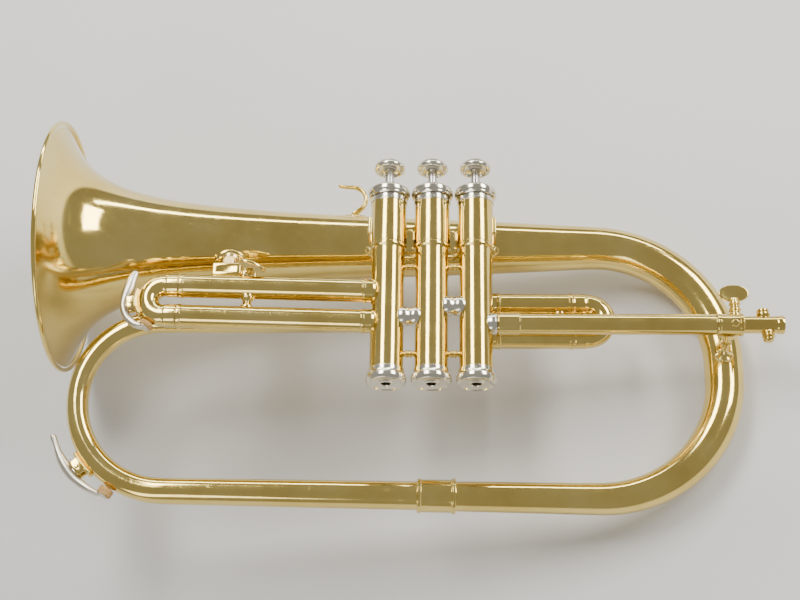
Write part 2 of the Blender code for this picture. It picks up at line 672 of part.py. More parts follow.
def finger_hook():
    """A strip bent into a hook for the little finger, standing on the bell tube."""
    x, y = HOOK_CENTRE
    tip = [(x - 4.0, y + 8.5), (x - 7.6, y + 9.6)]
    outline = [(x + 1.5, y - 10.4)] + arc(HOOK_CENTRE, HOOK_R, -48, 92, 9) + tip
    stations = [(*point, HOOK_Z, 1.5) for point in outline]
    swept_rod("finger_hook", BRASS, stations, 4)


def round_point(radius, degrees, z=0.0):
    a = math.radians(degrees)
    return Vector((radius * math.cos(a), radius * math.sin(a), z))


def water_key(label, bend, tube_r, pin_at, pad_angle, lever):
    """Saddle, hinge pin, curved lever and cork pad round the outside of a bend.

    bend is an empty at the bend's centre with Z along the hinge line, tube_r the bend's outer radius, and
    lever the (radius, angle, thickness) stations of the lever, finger end first.
    """
    pin_r, pin_angle = pin_at
    pin = [(0, 4.6), (KEY_PIN_R, 4.6), (KEY_PIN_R, -4.6), (0, -4.6)]
    turned(f"water_key_pin_{label}", BRASS, pin, round_point(pin_r, pin_angle), Z, 8, bend)
    tall = pin_r + 1.5 - tube_r - GAP
    turn = (0, 0, math.radians(pin_angle))
    middle = round_point(tube_r + GAP + tall / 2, pin_angle)
    saddle = block(f"water_key_saddle_{label}", BRASS, (tall, 6.4, 8.4), middle, bend, turn, 0)
    above = middle + round_point(0.6, pin_angle)
    slot = block(f"saddle_slot_{label}", BRASS, (tall, 8.0, 4.4), above, bend, turn, 0)
    hole = [(0, 9), (KEY_PIN_R + 0.1, 9), (KEY_PIN_R + 0.1, -9), (0, -9)]
    hide_tool(slot)
    cut(saddle, slot, cutter(f"pin_hole_{label}", hole, round_point(pin_r, pin_angle), Z, 8, bend))
    hinge = empty(f"water_key_hinge_{label}", round_point(pin_r, pin_angle), parent=bend)
    back = -round_point(pin_r, pin_angle)
    stations = [(*(round_point(r, a) + back)[:2], 0.0, thick) for r, a, thick in lever]
    arm = swept_rod(f"water_key_lever_{label}", NICKEL, stations, 4, hinge)
    knuckle = [(0, 1.9), (1.9, 1.9), (1.9, -1.9), (0, -1.9)]
    lug_top = round_point(lever_radius(lever, pin_angle), pin_angle) + back
    lug = block(f"lever_lug_{label}", NICKEL, (lug_top.length + 1.0, 3.4, 3.8), lug_top / 2, hinge, turn, 0)
    joined(arm, lug, turned(f"lever_knuckle_{label}", NICKEL, knuckle, (0, 0, 0), Z, 10, hinge))
    cut(arm, cutter(f"lever_hole_{label}", hole, (0, 0, 0), Z, 8, hinge))
    spread = math.degrees(PAD_R / tube_r)
    pad_top = min(lever_radius(lever, pad_angle + step) for step in (-spread, 0, spread)) - lever[-2][2]
    pad = [(0, pad_top - GAP), (PAD_R, pad_top - GAP), (PAD_R, tube_r + GAP), (0, tube_r + GAP)]
    turned(f"water_key_pad_{label}", CORK, pad, back, round_point(1, pad_angle), 12, hinge)


def lever_radius(lever, degrees):
    """The lever's distance from the bend's centre at an angle, straight between its stations."""
    for (r0, a0, _), (r1, a1, _) in zip(lever, lever[1:]):
        if a0 <= degrees <= a1:
            return r0 + (r1 - r0) * (degrees - a0) / (a1 - a0)
    return lever[-1][0]


def third_slide_key(holder, half, length):
    bend = empty("third_slide_bend", (length + 8.0, 0, 0), (0, 0, THIRD_TILT - math.pi), holder)
    lever = [(25.2, 137, 1.6), (23.9, 146, 2.4), (22.6, 157, 3.0), (22.6, 168, 3.0), (23.2, 179, 2.3),
             (23.7, 190, 1.9), (23.2, 205, 1.9), (21.8, 220, 1.8), (20.8, 231, 1.6), (20.6, 242, 1.2)]
    water_key("third_slide", bend, half + SLEEVE_R, (19.3, 187.0), 238.0, lever)


def bow_key():
    bend = empty("bow_bend", (LOW_X, LOW_R - LOOP_DEPTH, bow_height(LOW_X) + 1.5), parent=INSTRUMENT)
    lever = [(67.9, 198, 1.6), (67.6, 202, 1.4), (67.7, 206, 1.5), (67.7, 210, 2.1), (67.7, 215, 2.5),
             (67.7, 220, 2.4), (67.1, 225, 2.0), (66.2, 231, 1.8), (65.4, 237, 1.5), (65.2, 240, 1.2)]
    water_key("bow", bend, LOW_R + BOW_R[1], (62.6, 219.0), 239.0, lever)


def lay_down():
    """Turn the instrument to the way it rests and bring its lowest, middle point to the origin."""
    INSTRUMENT.rotation_euler = Euler((REST_ROLL, REST_PITCH, 0))
    bpy.context.view_layer.update()
    graph = bpy.context.evaluated_depsgraph_get()
    corners = []
    for item in PARTS.objects:
        if item.type != "EMPTY":
            solid = item.evaluated_get(graph)
            corners += [solid.matrix_world @ v.co for v in solid.to_mesh().vertices]
            solid.to_mesh_clear()
    low = Vector([min(c[i] for c in corners) for i in range(3)])
    high = Vector([max(c[i] for c in corners) for i in range(3)])
    INSTRUMENT.location = Vector((-(low.x + high.x) / 2, -(low.y + high.y) / 2, -low.z))


def main():
    tools = [casing_cutter(number) for number in (1, 2, 3)]
    bell_tool = bell_cutter()
    bell()
    bow_ferrule()
    bottom_bow(tools)
    for number in (1, 2, 3):
        casing(number)
        top_cap(number)
        bottom_cap(number)
        piston(number)
        finger_button(number)
        button_felt(number)
        piston_spring(number)
    between_casings(tools)
    bell_brackets(tools, bell_tool)
    third_slide(tools[2])
    first_slide(tools[0])
    second_slide(tools[1])
    leadpipe(tools[0])
    clamp()
    leadpipe_brace()
    lyre_holder(bell_tool)
    finger_hook()
    bow_key()
    lay_down()


main()
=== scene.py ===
"""Looks of a flugelhorn lying on its side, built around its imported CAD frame.

Sizes are in millimetres, in the instrument's own axes: the bell's axis is X with its mouth at -X, the valves
stand along Y with the buttons at +Y, and +Z is the valve side. HORN takes them to the row frame, in metres.
"""

import json
import math

import bmesh
import bpy
import numpy as np
from mathutils import Matrix, Vector


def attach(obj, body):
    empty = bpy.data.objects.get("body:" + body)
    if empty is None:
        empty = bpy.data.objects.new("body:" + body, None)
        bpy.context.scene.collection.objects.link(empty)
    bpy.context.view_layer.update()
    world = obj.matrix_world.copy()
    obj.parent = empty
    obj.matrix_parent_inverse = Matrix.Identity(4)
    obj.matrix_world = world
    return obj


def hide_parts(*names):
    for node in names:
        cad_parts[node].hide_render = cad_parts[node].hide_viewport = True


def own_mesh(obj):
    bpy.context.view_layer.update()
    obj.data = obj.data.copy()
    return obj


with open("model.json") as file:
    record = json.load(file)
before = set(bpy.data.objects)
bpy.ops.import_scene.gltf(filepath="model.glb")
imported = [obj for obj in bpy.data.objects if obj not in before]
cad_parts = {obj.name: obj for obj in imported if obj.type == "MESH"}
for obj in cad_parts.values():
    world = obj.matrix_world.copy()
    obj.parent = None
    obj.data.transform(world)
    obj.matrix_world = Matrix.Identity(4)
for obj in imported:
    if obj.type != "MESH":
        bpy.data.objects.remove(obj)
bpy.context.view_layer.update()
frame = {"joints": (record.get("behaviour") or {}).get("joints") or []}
JOINTS = {joint["name"]: joint for joint in frame["joints"]}

MM = 0.001
X, Y, Z = Vector((1, 0, 0)), Vector((0, 1, 0)), Vector((0, 0, 1))
UNTURNED = Matrix.Identity(4)
ROUND = 96         # faces round a large turned part
SMALL_ROUND = 48   # faces round a small one
CORNER = 0.35      # how far an ordinary turned edge is rounded

ROOT = "instrument"
BRASS, RAW, NICKEL, CAST = "lacquered_brass", "raw_brass", "nickel_silver", "cast_nickel"

# bell and loop
RIM_X, RIM_R, BEAD_R = -224.5, 76.6, 1.6
BELL_END_R, BELL_WALL = 73.0, 0.6
FLARE_A, FLARE_D, FLARE_G = 4659.0, 26.2, 1.351
FLARE_BASE, FLARE_TAPER = 20.04, 0.0239
TAPER_X, TAPER_RUN = 30.0, 75.0
CROOK_X, CROOK_R, LOOP_DEPTH = 95.8, 74.0, 158.0
CROOK_TUBE_R = (12.4, 11.4, 9.1)
FERRULE_X, FERRULE_R = (-8.0, 14.0), 9.2
BOW_R = (8.1, 7.4, 6.3, 5.8)
LOW_R, HIGH_R = 52.0, 45.0
LOW_X, HIGH_X = -150.2, -157.2
TAIL_Y, TAIL_Z = -59.0, 19.9
BOW_RISE, BOW_WALL = 0.0385, 0.5
LOOP_JOIN_X, LOOP_JOIN_R = FERRULE_X[1] - 6.0, 8.35

# valves
SPACING, VALVE_Z = 25.5, 30.0
VALVE_X = (SPACING, 0.0, -SPACING)
BARREL_R, CASING_R, BORE_R = 10.5, 9.4, 8.4
CAP_BOTTOM, BARREL_TOP, SEAM_Y, CASING_BOTTOM = 16.3, 20.0, -16.8, -96.0
CAP_R, CAP_TOP = 12.4, 24.0
FOOT_CAP_R, FOOT_CAP_TOP, FOOT_CAP_END = 11.7, -92.8, -101.6
STEM_R, BUTTON_R, BUTTON_LOW, BUTTON_TOP = 2.7, 9.5, 36.6, 42.6
PISTON_TOP, PISTON_BOTTOM, PISTON_CLEAR = 10.0, -72.0, 0.3
PORT_R, PORTS = 4.9, ((-24.0, 40.0), (-40.0, 150.0), (-57.0, 265.0))     # height, degrees round
SPRING_TURNS, SPRING_R, SPRING_WIRE = 5, 5.6, 0.45
KNUCKLES = (("3_2", -SPACING / 2, -60.5, (3, 2)), ("2_1", SPACING / 2, -53.8, (2, 1)))
ROD_LEVELS = (("upper", -28.2), ("lower", -82.8))
BRACKET_SIZE, BRACKET_Y, BRACKET_Z = (3.4, 11.0, 17.0), -1.0, 23.5

# slides
SLEEVE_R, SLEEVE_WALL, INNER_R, INNER_WALL = 6.7, 0.55, 5.75, 0.5
BLOCK_END = SPACING + CASING_R
LEVELS = (("upper", 1), ("lower", -1))
THIRD_Z, THIRD_Y, THIRD_TILT = VALVE_Z + 3.4, (-45.0, -64.1), math.radians(1.5)
THIRD_END, THIRD_BRACE_X = -145.5, -106.0
FIRST_Z, FIRST_Y, FIRST_END, FIRST_BRACE_X = 17.6, (-46.5, -66.7), 82.0, 74.0
SECOND_Y, SECOND_END = (-52.0, -72.0), 1.0
BOW_FERRULE = 8.0                  # from a sleeve's mouth to where its bend starts
INSERTS = {"third": 34.0, "first": 28.0, "second": 14.0}

# leadpipe
LEAD_Y, LEAD_Z, LEAD_R, LEAD_END = -64.8, 31.9, 5.9, 161.2
LEAD_AT = (0, LEAD_Y, LEAD_Z)
PIPE_R, PIPE_WALL, PIPE_START, PIPE_END = 4.95, 0.6, 112.0, 199.5
CLAMP_R, CLAMP_X, CLAMP_SCREW_X = 7.1, (161.6, 176.6), 172.6
COLLAR_R = 6.5     # the clamp lies nearly flush with the pipe
BRACE_FOOT = Vector((168.5, -75.0, 9.0))

# fittings
LYRE_AT, LYRE_SIZE, LYRE_SOCKET = (-119.8, -28.8, 25.4), (17.0, 8.4, 8.0), (6.2, 5.6)
LYRE_FOOT_ANGLE = math.radians(41.4)
LYRE_LUG, LYRE_LUG_AT = (9.4, 7.0, 3.4), (-107.3, -31.2, 23.9)
LYRE_SCREW_AT = (-107.1, -31.2, 26.9)
LYRE_SCREW_ALONG, LYRE_PADDLE_ACROSS = Vector((0.300, 0.0, 0.954)), Vector((0.917, -0.278, -0.288))
HOOK_CENTRE, HOOK_R, HOOK_Z = (-49.5, 30.8), 8.75, 4.0
GAP = 0.3
KEY_PIN_R, PAD_R = 0.9, 4.2

# the camera, in the instrument's axes
CAMERA_AT = (7.03, -430.22, 844.43)
CAMERA_AHEAD, CAMERA_UP = (-0.02806, 0.42377, -0.90534), (-0.00296, 0.90565, 0.42401)
SENSOR_WIDTH, LENS = 36.0, 70.35


def horn_matrix():
    """The instrument's axes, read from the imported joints, and its origin, from the clamp screw's hinge."""
    across = Vector(JOINTS["first_slide_pull"]["axis"]).normalized()
    up = -Vector(JOINTS["valve_1_press"]["axis"]).normalized()
    out = across.cross(up).normalized()
    turn = Matrix((across, up, out)).transposed()
    hinge = Vector((CLAMP_SCREW_X, LEAD_Y + CLAMP_R + GAP, LEAD_Z)) * MM
    origin = Vector(JOINTS["clamp_screw_turn"]["pos_m"]) - turn @ hinge
    return Matrix.Translation(origin) @ turn.to_4x4()


HORN = horn_matrix()


# ---------------------------------------------------------------- materials

def new_material(name):
    """A material and its shader's inputs."""
    material = bpy.data.materials.new(name)
    material.use_nodes = True
    return material, material.node_tree.nodes["Principled BSDF"].inputs


def link(material, source, target):
    material.node_tree.links.new(source, target)


def add_node(material, kind, **settings):
    node = material.node_tree.nodes.new(kind)
    for name, value in settings.items():
        if name in node.inputs:
            node.inputs[name].default_value = value
        else:
            setattr(node, name, value)
    return node


def noise_of(material, scale, stretch=(1, 1, 1), detail=4.0, roughness=0.55, distortion=0.0):
    """A noise in the piece's own metres; stretch below 1 draws it out along that axis."""
    place = add_node(material, "ShaderNodeTexCoord")
    mapping = add_node(material, "ShaderNodeMapping")
    mapping.inputs["Scale"].default_value = stretch
    link(material, place.outputs["Object"], mapping.inputs["Vector"])
    settings = {"Scale": scale, "Detail": detail, "Roughness": roughness, "Distortion": distortion}
    noise = add_node(material, "ShaderNodeTexNoise", **settings)
    link(material, mapping.outputs["Vector"], noise.inputs["Vector"])
    return noise.outputs["Fac"]


def ramp_of(material, source, stops):
    ramp = add_node(material, "ShaderNodeValToRGB")
    elements = ramp.color_ramp.elements
    while len(elements) < len(stops):
        elements.new(0.5)
    for element, (position, colour) in zip(elements, stops):
        element.position = position
        element.color = (*colour, 1.0) if len(colour) == 3 else colour
    link(material, source, ramp.inputs["Fac"])
    return ramp.outputs["Color"]


def remap(material, source, start, end, low=0.0, high=1.0):
    """Map one range of a value to another, held at both ends."""
    limits = {"From Min": start, "From Max": end, "To Min": low, "To Max": high}
    node = add_node(material, "ShaderNodeMapRange", **limits)
    link(material, source, node.inputs["Value"])
    return node.outputs["Result"]


def emboss(material, shader, height, distance, strength=1.0):
    """Let a pattern stand out of the surface."""
    bump = add_node(material, "ShaderNodeBump", Strength=strength, Distance=distance)
    link(material, height, bump.inputs["Height"])
    link(material, bump.outputs["Normal"], shader["Normal"])


def combine(material, operation, first, second):
    node = add_node(material, "ShaderNodeMath", operation=operation)
    for socket, value in zip(node.inputs, (first, second)):
        if isinstance(value, (int, float)):
            socket.default_value = value
        else:
            link(material, value, socket)
    return node.outputs["Value"]


def scratches(material, scale, along, threshold):
    """Sparse hairlines drawn out along one axis: 1 on a line, 0 between."""
    lines = noise_of(material, scale, along, detail=2.0, roughness=0.4)
    return remap(material, lines, threshold, threshold + 0.04)


def metal(name, tones, roughness, coat, hairlines=1.0, grain=0.00002):
    """Polished metal: clouded tone, smudges and hairlines in its gloss, and a very slight ripple."""
    material, shader = new_material(name)
    shader["Metallic"].default_value = 1.0
    shader["Coat Weight"].default_value = coat
    shader["Coat Roughness"].default_value = 0.04
    cloud = noise_of(material, 26.0, detail=5.0)
    link(material, ramp_of(material, cloud, tones), shader["Base Color"])
    smudge = noise_of(material, 62.0, detail=6.0, roughness=0.65, distortion=0.8)
    gloss = remap(material, smudge, 0.35, 0.75, *roughness)
    first = scratches(material, 900.0, (0.035, 1.0, 1.0), 0.66)
    second = scratches(material, 820.0, (1.0, 0.05, 0.7), 0.68)
    lines = combine(material, "MAXIMUM", first, second)
    worn = combine(material, "MULTIPLY", lines, hairlines * HAIRLINE_DEPTH)
    link(material, combine(material, "ADD", gloss, worn), shader["Roughness"])
    emboss(material, shader, noise_of(material, 140.0, detail=3.0), grain)
    return material


def felt():
    material, shader = new_material("felt")
    shader["Roughness"].default_value = 0.95
    shader["Sheen Weight"].default_value = 0.5
    shader["Sheen Roughness"].default_value = 0.6
    fibres = noise_of(material, 2600.0, detail=6.0, roughness=0.7, distortion=1.5)
    tones = [(0.3, (0.55, 0.52, 0.45)), (0.7, (0.82, 0.79, 0.72))]
    link(material, ramp_of(material, fibres, tones), shader["Base Color"])
    emboss(material, shader, fibres, 0.0002)
    return material


def cork():
    """Pale grains with darker seams and a few pores."""
    material, shader = new_material("cork")
    place = add_node(material, "ShaderNodeTexCoord")
    cells = add_node(material, "ShaderNodeTexVoronoi", Scale=1500.0)
    link(material, place.outputs["Object"], cells.inputs["Vector"])
    seams = remap(material, cells.outputs["Distance"], 0.1, 0.7)
    shade = combine(material, "SUBTRACT", 1.15, combine(material, "MULTIPLY", seams, 0.55))
    mixed = combine(material, "MULTIPLY", shade, noise_of(material, 500.0, detail=5.0))
    tones = [(0.15, (0.26, 0.12, 0.03)), (0.42, (0.62, 0.36, 0.12)), (0.75, (0.82, 0.56, 0.24))]
    link(material, ramp_of(material, mixed, tones), shader["Base Color"])
    shader["Roughness"].default_value = 0.82
    emboss(material, shader, mixed, 0.00018, 0.8)
    return material


HAIRLINE_DEPTH = 0.16

# tones along the clouding, lowest and highest roughness, coat, hairlines, ripple in metres
METALS = {
    BRASS: (
        [(0.30, (0.73, 0.52, 0.125)), (0.52, (0.83, 0.625, 0.175)), (0.74, (0.89, 0.70, 0.245))],
        (0.07, 0.17), 0.45, 0.5),
    RAW: ([(0.30, (0.62, 0.44, 0.17)), (0.70, (0.76, 0.57, 0.26))], (0.20, 0.34), 0.0, 0.9, 0.00004),
    NICKEL: (
        [(0.30, (0.70, 0.655, 0.53)), (0.55, (0.80, 0.75, 0.62)), (0.75, (0.87, 0.83, 0.71))],
        (0.10, 0.22), 0.0, 0.7),
    CAST: ([(0.30, (0.68, 0.62, 0.50)), (0.70, (0.85, 0.79, 0.66))], (0.28, 0.42), 0.0, 1.0, 0.00006),
    "monel": ([(0.30, (0.50, 0.48, 0.45)), (0.70, (0.62, 0.60, 0.57))], (0.22, 0.34), 0.0),
    "spring_steel": ([(0.30, (0.45, 0.45, 0.46)), (0.70, (0.58, 0.58, 0.59))], (0.20, 0.35), 0.0)}
MATERIALS = {name: metal(name, *look) for name, look in METALS.items()}
MATERIALS["felt"], MATERIALS["cork"] = felt(), cork()


# ---------------------------------------------------------------- shapes

def new_piece(name, mesh, material, holder=UNTURNED, sharp=40.0):
    """Link a mesh in millimetres as a piece in the instrument's axes, or in those of a holder matrix."""
    mesh.transform(HORN @ holder @ Matrix.Scale(MM, 4))
    mesh.shade_smooth()
    mesh.set_sharp_from_angle(angle=math.radians(sharp))
    mesh.materials.append(MATERIALS[material])
    piece = bpy.data.objects.new(name, mesh)
    bpy.context.scene.collection.objects.link(piece)
    return piece


def at_point(point, along=None, turn=None):
    """A holder in millimetres: origin at point, its Z along a direction, or turned by a matrix."""
    holder = Matrix.Translation(Vector(point) * MM)
    if along is not None:
        holder = holder @ Z.rotation_difference(Vector(along).normalized()).to_matrix().to_4x4()
    if turn is not None:
        holder = holder @ turn
    return holder


def skin(name, rings, closed_path, caps=False):
    """Quads between rings of equally many points; a closed path joins the last ring to the first."""
    count = len(rings[0])
    points = np.concatenate([np.asarray(ring, float) for ring in rings])
    steps = len(rings) if closed_path else len(rings) - 1
    faces = []
    for i in range(steps):
        low, high = i * count, ((i + 1) % len(rings)) * count
        faces += [(low + k, low + (k + 1) % count, high + (k + 1) % count, high + k) for k in range(count)]
    if caps:
        faces.append(tuple(reversed(range(count))))
        last = (len(rings) - 1) * count
        faces.append(tuple(range(last, last + count)))
    mesh = bpy.data.meshes.new(name)
    mesh.from_pydata(points.tolist(), [], faces)
    shape = bmesh.new()
    shape.from_mesh(mesh)
    bmesh.ops.remove_doubles(shape, verts=shape.verts, dist=0.0005)
    bmesh.ops.dissolve_degenerate(shape, edges=shape.edges, dist=0.0002)
    bmesh.ops.recalc_face_normals(shape, faces=shape.faces)
    shape.to_mesh(mesh)
    shape.free()
    return mesh


def eased(outline, closed, radius=CORNER, steps=4):
    """Round an outline's corners. A point may carry its own rounding as a third number."""
    points = [Vector(p[:2]) for p in outline]
    sizes = [p[2] if len(p) > 2 else radius for p in outline]
    made = []
    count = len(points)
    for i, (here, size) in enumerate(zip(points, sizes)):
        if not closed and i in (0, count - 1):
            made.append(here)
            continue
        before, after = points[i - 1] - here, points[(i + 1) % count] - here
        if size <= 0 or before.length < 1e-6 or after.length < 1e-6:
            made.append(here)
            continue
        half = before.angle(after) / 2
        reach = min(size / max(math.tan(half), 0.05), 0.47 * before.length, 0.47 * after.length)
        if math.degrees(half) > 88:
            made.append(here)
            continue
        start, end = here + before.normalized() * reach, here + after.normalized() * reach
        for k in range(steps + 1):
            t = k / steps
            made.append(start * (1 - t) ** 2 + here * (2 * t * (1 - t)) + end * t ** 2)
    return made


def lathe(
        name, material, outline, at, along, closed=False, around=ROUND, radius=CORNER, holder=UNTURNED,
        sharp=40.0):
    """A turned part from (radius, height) points. An open outline starts and ends on the axis."""
    profile = eased(outline, closed, radius)
    angles = np.linspace(0, math.tau, around, endpoint=False)
    circle = np.stack([np.cos(angles), np.sin(angles)], axis=1)
    rings = [np.column_stack([circle * max(p.x, 0.0), np.full(around, p.y)]) for p in profile]
    place = at_point(at, along)
    return new_piece(name, skin(name, rings, closed), material, holder @ place, sharp)


def frames_along(points):
    """Tangents and two normals along a path, turned as little as possible from one to the next."""
    points = np.asarray(points, float)
    tangents = np.gradient(points, axis=0)
    tangents /= np.linalg.norm(tangents, axis=1)[:, None]
    first = np.array((0.0, 0.0, 1.0)) if abs(tangents[0][2]) < 0.9 else np.array((0.0, 1.0, 0.0))
    normal = first - tangents[0] * (first @ tangents[0])
    normals = [normal / np.linalg.norm(normal)]
    for tangent in tangents[1:]:
        normal = normals[-1] - tangent * (normals[-1] @ tangent)
        normals.append(normal / np.linalg.norm(normal))
    normals = np.array(normals)
    return tangents, normals, np.cross(tangents, normals)


def tube_rings(points, radii, around, flat=None):
    """Rings round a path; flat gives the second half-width where the section is an oval."""
    _, first, second = frames_along(points)
    angles = np.linspace(0, math.tau, around, endpoint=False)
    flat = radii if flat is None else flat
    return [
        np.asarray(p) + np.outer(np.cos(angles), a) * r + np.outer(np.sin(angles), b) * f
        for p, a, b, r, f in zip(points, first, second, radii, flat)]


def pipe(name, material, points, radii, wall, around=72, holder=UNTURNED):
    """A hollow tube with its wall, open at both ends."""
    radii = np.asarray(radii, float)
    outer = tube_rings(points, radii, around)
    inner = tube_rings(points, radii - wall, around)
    return new_piece(name, skin(name, outer + inner[::-1], True), material, holder)


def rod(name, material, points, first_half, second_half, around=24, holder=UNTURNED):
    """A solid bar of oval section with rounded ends."""
    points = [np.asarray(p, float) for p in points]
    a, b = np.asarray(first_half, float), np.asarray(second_half, float)
    for end, neighbour in ((0, 1), (-1, -2)):
        away = points[end] - points[neighbour]
        away /= np.linalg.norm(away)
        size = min(a[end], b[end])
        slopes = np.radians((30, 55, 75, 86))
        extra = [points[end] + away * size * math.sin(t) for t in slopes]
        shares = np.cos(slopes)
        if end == 0:
            points = extra[::-1] + points
            a, b = np.concatenate([a[0] * shares[::-1], a]), np.concatenate([b[0] * shares[::-1], b])
        else:
            points = points + extra
            a, b = np.concatenate([a, a[-1] * shares]), np.concatenate([b, b[-1] * shares])
    mesh = skin(name, tube_rings(points, a, around, b), False, True)
    return new_piece(name, mesh, material, holder, 60.0)


def arc(centre, radius, start, end, count):
    angles = np.radians(np.linspace(start, end, count))
    return [(centre[0] + radius * math.cos(a), centre[1] + radius * math.sin(a)) for a in angles]


def smoothed(values, passes=3):
    """Take the kinks out of a finely sampled row of points or numbers, keeping its ends."""
    values = np.asarray(values, float).copy()
    for _ in range(passes):
        values[1:-1] = (values[:-2] + 2 * values[1:-1] + values[2:]) / 4
    return values


def through(knots, count):
    """A smooth run of points through a few given ones, evenly spaced between each pair."""
    knots = np.asarray(knots, float)
    padded = np.concatenate([[2 * knots[0] - knots[1]], knots, [2 * knots[-1] - knots[-2]]])
    made = []
    for i in range(1, len(padded) - 2):
        p0, p1, p2, p3 = padded[i - 1:i + 3]
        for t in np.linspace(0, 1, count, endpoint=False):
            square, cube = 2 * p0 - 5 * p1 + 4 * p2 - p3, 3 * p1 - p0 - 3 * p2 + p3
            made.append(0.5 * (2 * p1 + (p2 - p0) * t + square * t ** 2 + cube * t ** 3))
    made.append(knots[-1])
    return np.array(made)


def rounded_block(name, material, size, at, turn=None, radius=0.8, holder=UNTURNED):
    shape = bmesh.new()
    bmesh.ops.create_cube(shape, size=1.0)
    bmesh.ops.scale(shape, vec=size, verts=shape.verts)
    bmesh.ops.bevel(shape, geom=list(shape.edges), offset=radius, segments=4, profile=0.5, affect="EDGES")
    mesh = bpy.data.meshes.new(name)
    shape.to_mesh(mesh)
    shape.free()
    place = at_point(at, turn=turn)
    return new_piece(name, mesh, material, holder @ place, 50.0)


def baked(piece):
    """Apply a piece's modifiers and keep its place."""
    bpy.context.view_layer.update()
    graph = bpy.context.evaluated_depsgraph_get()
    mesh = bpy.data.meshes.new_from_object(piece.evaluated_get(graph))
    shape = bmesh.new()
    shape.from_mesh(mesh)
    bmesh.ops.remove_doubles(shape, verts=shape.verts, dist=0.000004)
    bmesh.ops.dissolve_degenerate(shape, edges=shape.edges, dist=0.000002)
    shape.to_mesh(mesh)
    shape.free()
    piece.modifiers.clear()
    piece.data = mesh
    mesh.shade_smooth()
    mesh.set_sharp_from_angle(angle=math.radians(35))
    return piece


def combined(operation, piece, *tools):
    """Join tools to a piece or cut them from it, and remove them."""
    for tool in tools:
        modifier = piece.modifiers.new(tool.name, "BOOLEAN")
        modifier.operation = operation
        modifier.object = tool
    baked(piece)
    for tool in tools:
        bpy.data.objects.remove(tool)
    return piece


def cut(piece, *tools):
    return combined("DIFFERENCE", piece, *tools)


def joined(piece, *tools):
    return combined("UNION", piece, *tools)


def show(piece, body, *nodes):
    """Let a piece ride on its body and stand for its CAD nodes."""
    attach(piece, body)
    if nodes:
        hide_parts(*nodes)
    return piece


def mirrored(half):
    """Run an outline on below height 0 as it is above; a point at height 0 is not doubled."""
    return half + [(r, -height, *corner) for r, height, *corner in reversed(half) if height]


def drill(name, radius, low, high, at, along, holder=UNTURNED, around=SMALL_ROUND):
    outline = [(0, low), (radius, low), (radius, high), (0, high)]
    return lathe(name, BRASS, outline, at, along, False, around, 0, holder)


# ---------------------------------------------------------------- bell and loop

def flare_radius(x):
    run = x - RIM_X
    return FLARE_A * (run + FLARE_D) ** -FLARE_G + FLARE_BASE - FLARE_TAPER * run


def flare_start():
    low, high = RIM_X, RIM_X + 10
    for _ in range(40):
        middle = (low + high) / 2
        low, high = (middle, high) if flare_radius(middle) > BELL_END_R else (low, middle)
    return low


def bow_height(x):
    return BOW_RISE * (CROOK_X - x)


def bell_line():
    """The bell's centre line and radii, from the rim round the crook to the ferrule."""
    first = flare_start()
    shares = np.linspace(0, 1, 120) ** 1.9
    xs = first + (TAPER_X - first) * shares
    points = [(x, 0.0, 0.0) for x in xs]
    radii = [flare_radius(x) for x in xs]
    end_r = radii[-1]
    crook_r = end_r + (CROOK_TUBE_R[0] - end_r) * (CROOK_X - TAPER_X) / TAPER_RUN
    for x in np.linspace(TAPER_X, CROOK_X, 18)[1:]:
        points.append((x, 0.0, 0.0))
        radii.append(end_r + (crook_r - end_r) * (x - TAPER_X) / (CROOK_X - TAPER_X))
    bends = ((90, 0, -CROOK_R, crook_r, CROOK_TUBE_R[1]), (0, -90, CROOK_R - LOOP_DEPTH, *CROOK_TUBE_R[1:]))
    for start, end, y, low, high in bends:
        turn = arc((CROOK_X, y), CROOK_R, start, end, 48)
        points += [(x, y_at, 0.0) for x, y_at in turn[1:]]
        radii += [low + (high - low) * i / 47 for i in range(1, 48)]
    for x in np.linspace(CROOK_X, LOOP_JOIN_X, 22)[1:]:
        points.append((x, -LOOP_DEPTH, bow_height(x)))
        share = (CROOK_X - x) / (CROOK_X - LOOP_JOIN_X)
        radii.append(CROOK_TUBE_R[2] + (LOOP_JOIN_R - CROOK_TUBE_R[2]) * share)
    return smoothed(points, 4), smoothed(radii, 12)


def make_bell():
    points, radii = bell_line()
    show(pipe("bell_sheet", BRASS, points, radii, BELL_WALL, 128), ROOT, "bell")
    middle = RIM_R - BEAD_R
    bead = arc((middle, 0), BEAD_R, 0, -360, 20)[:-1]
    roll = lathe("bell_rim_roll", BRASS, bead, (RIM_X + 0.8, 0, 0), X, True, 160, 0, sharp=80)
    show(roll, ROOT, "bell_rim_bead")


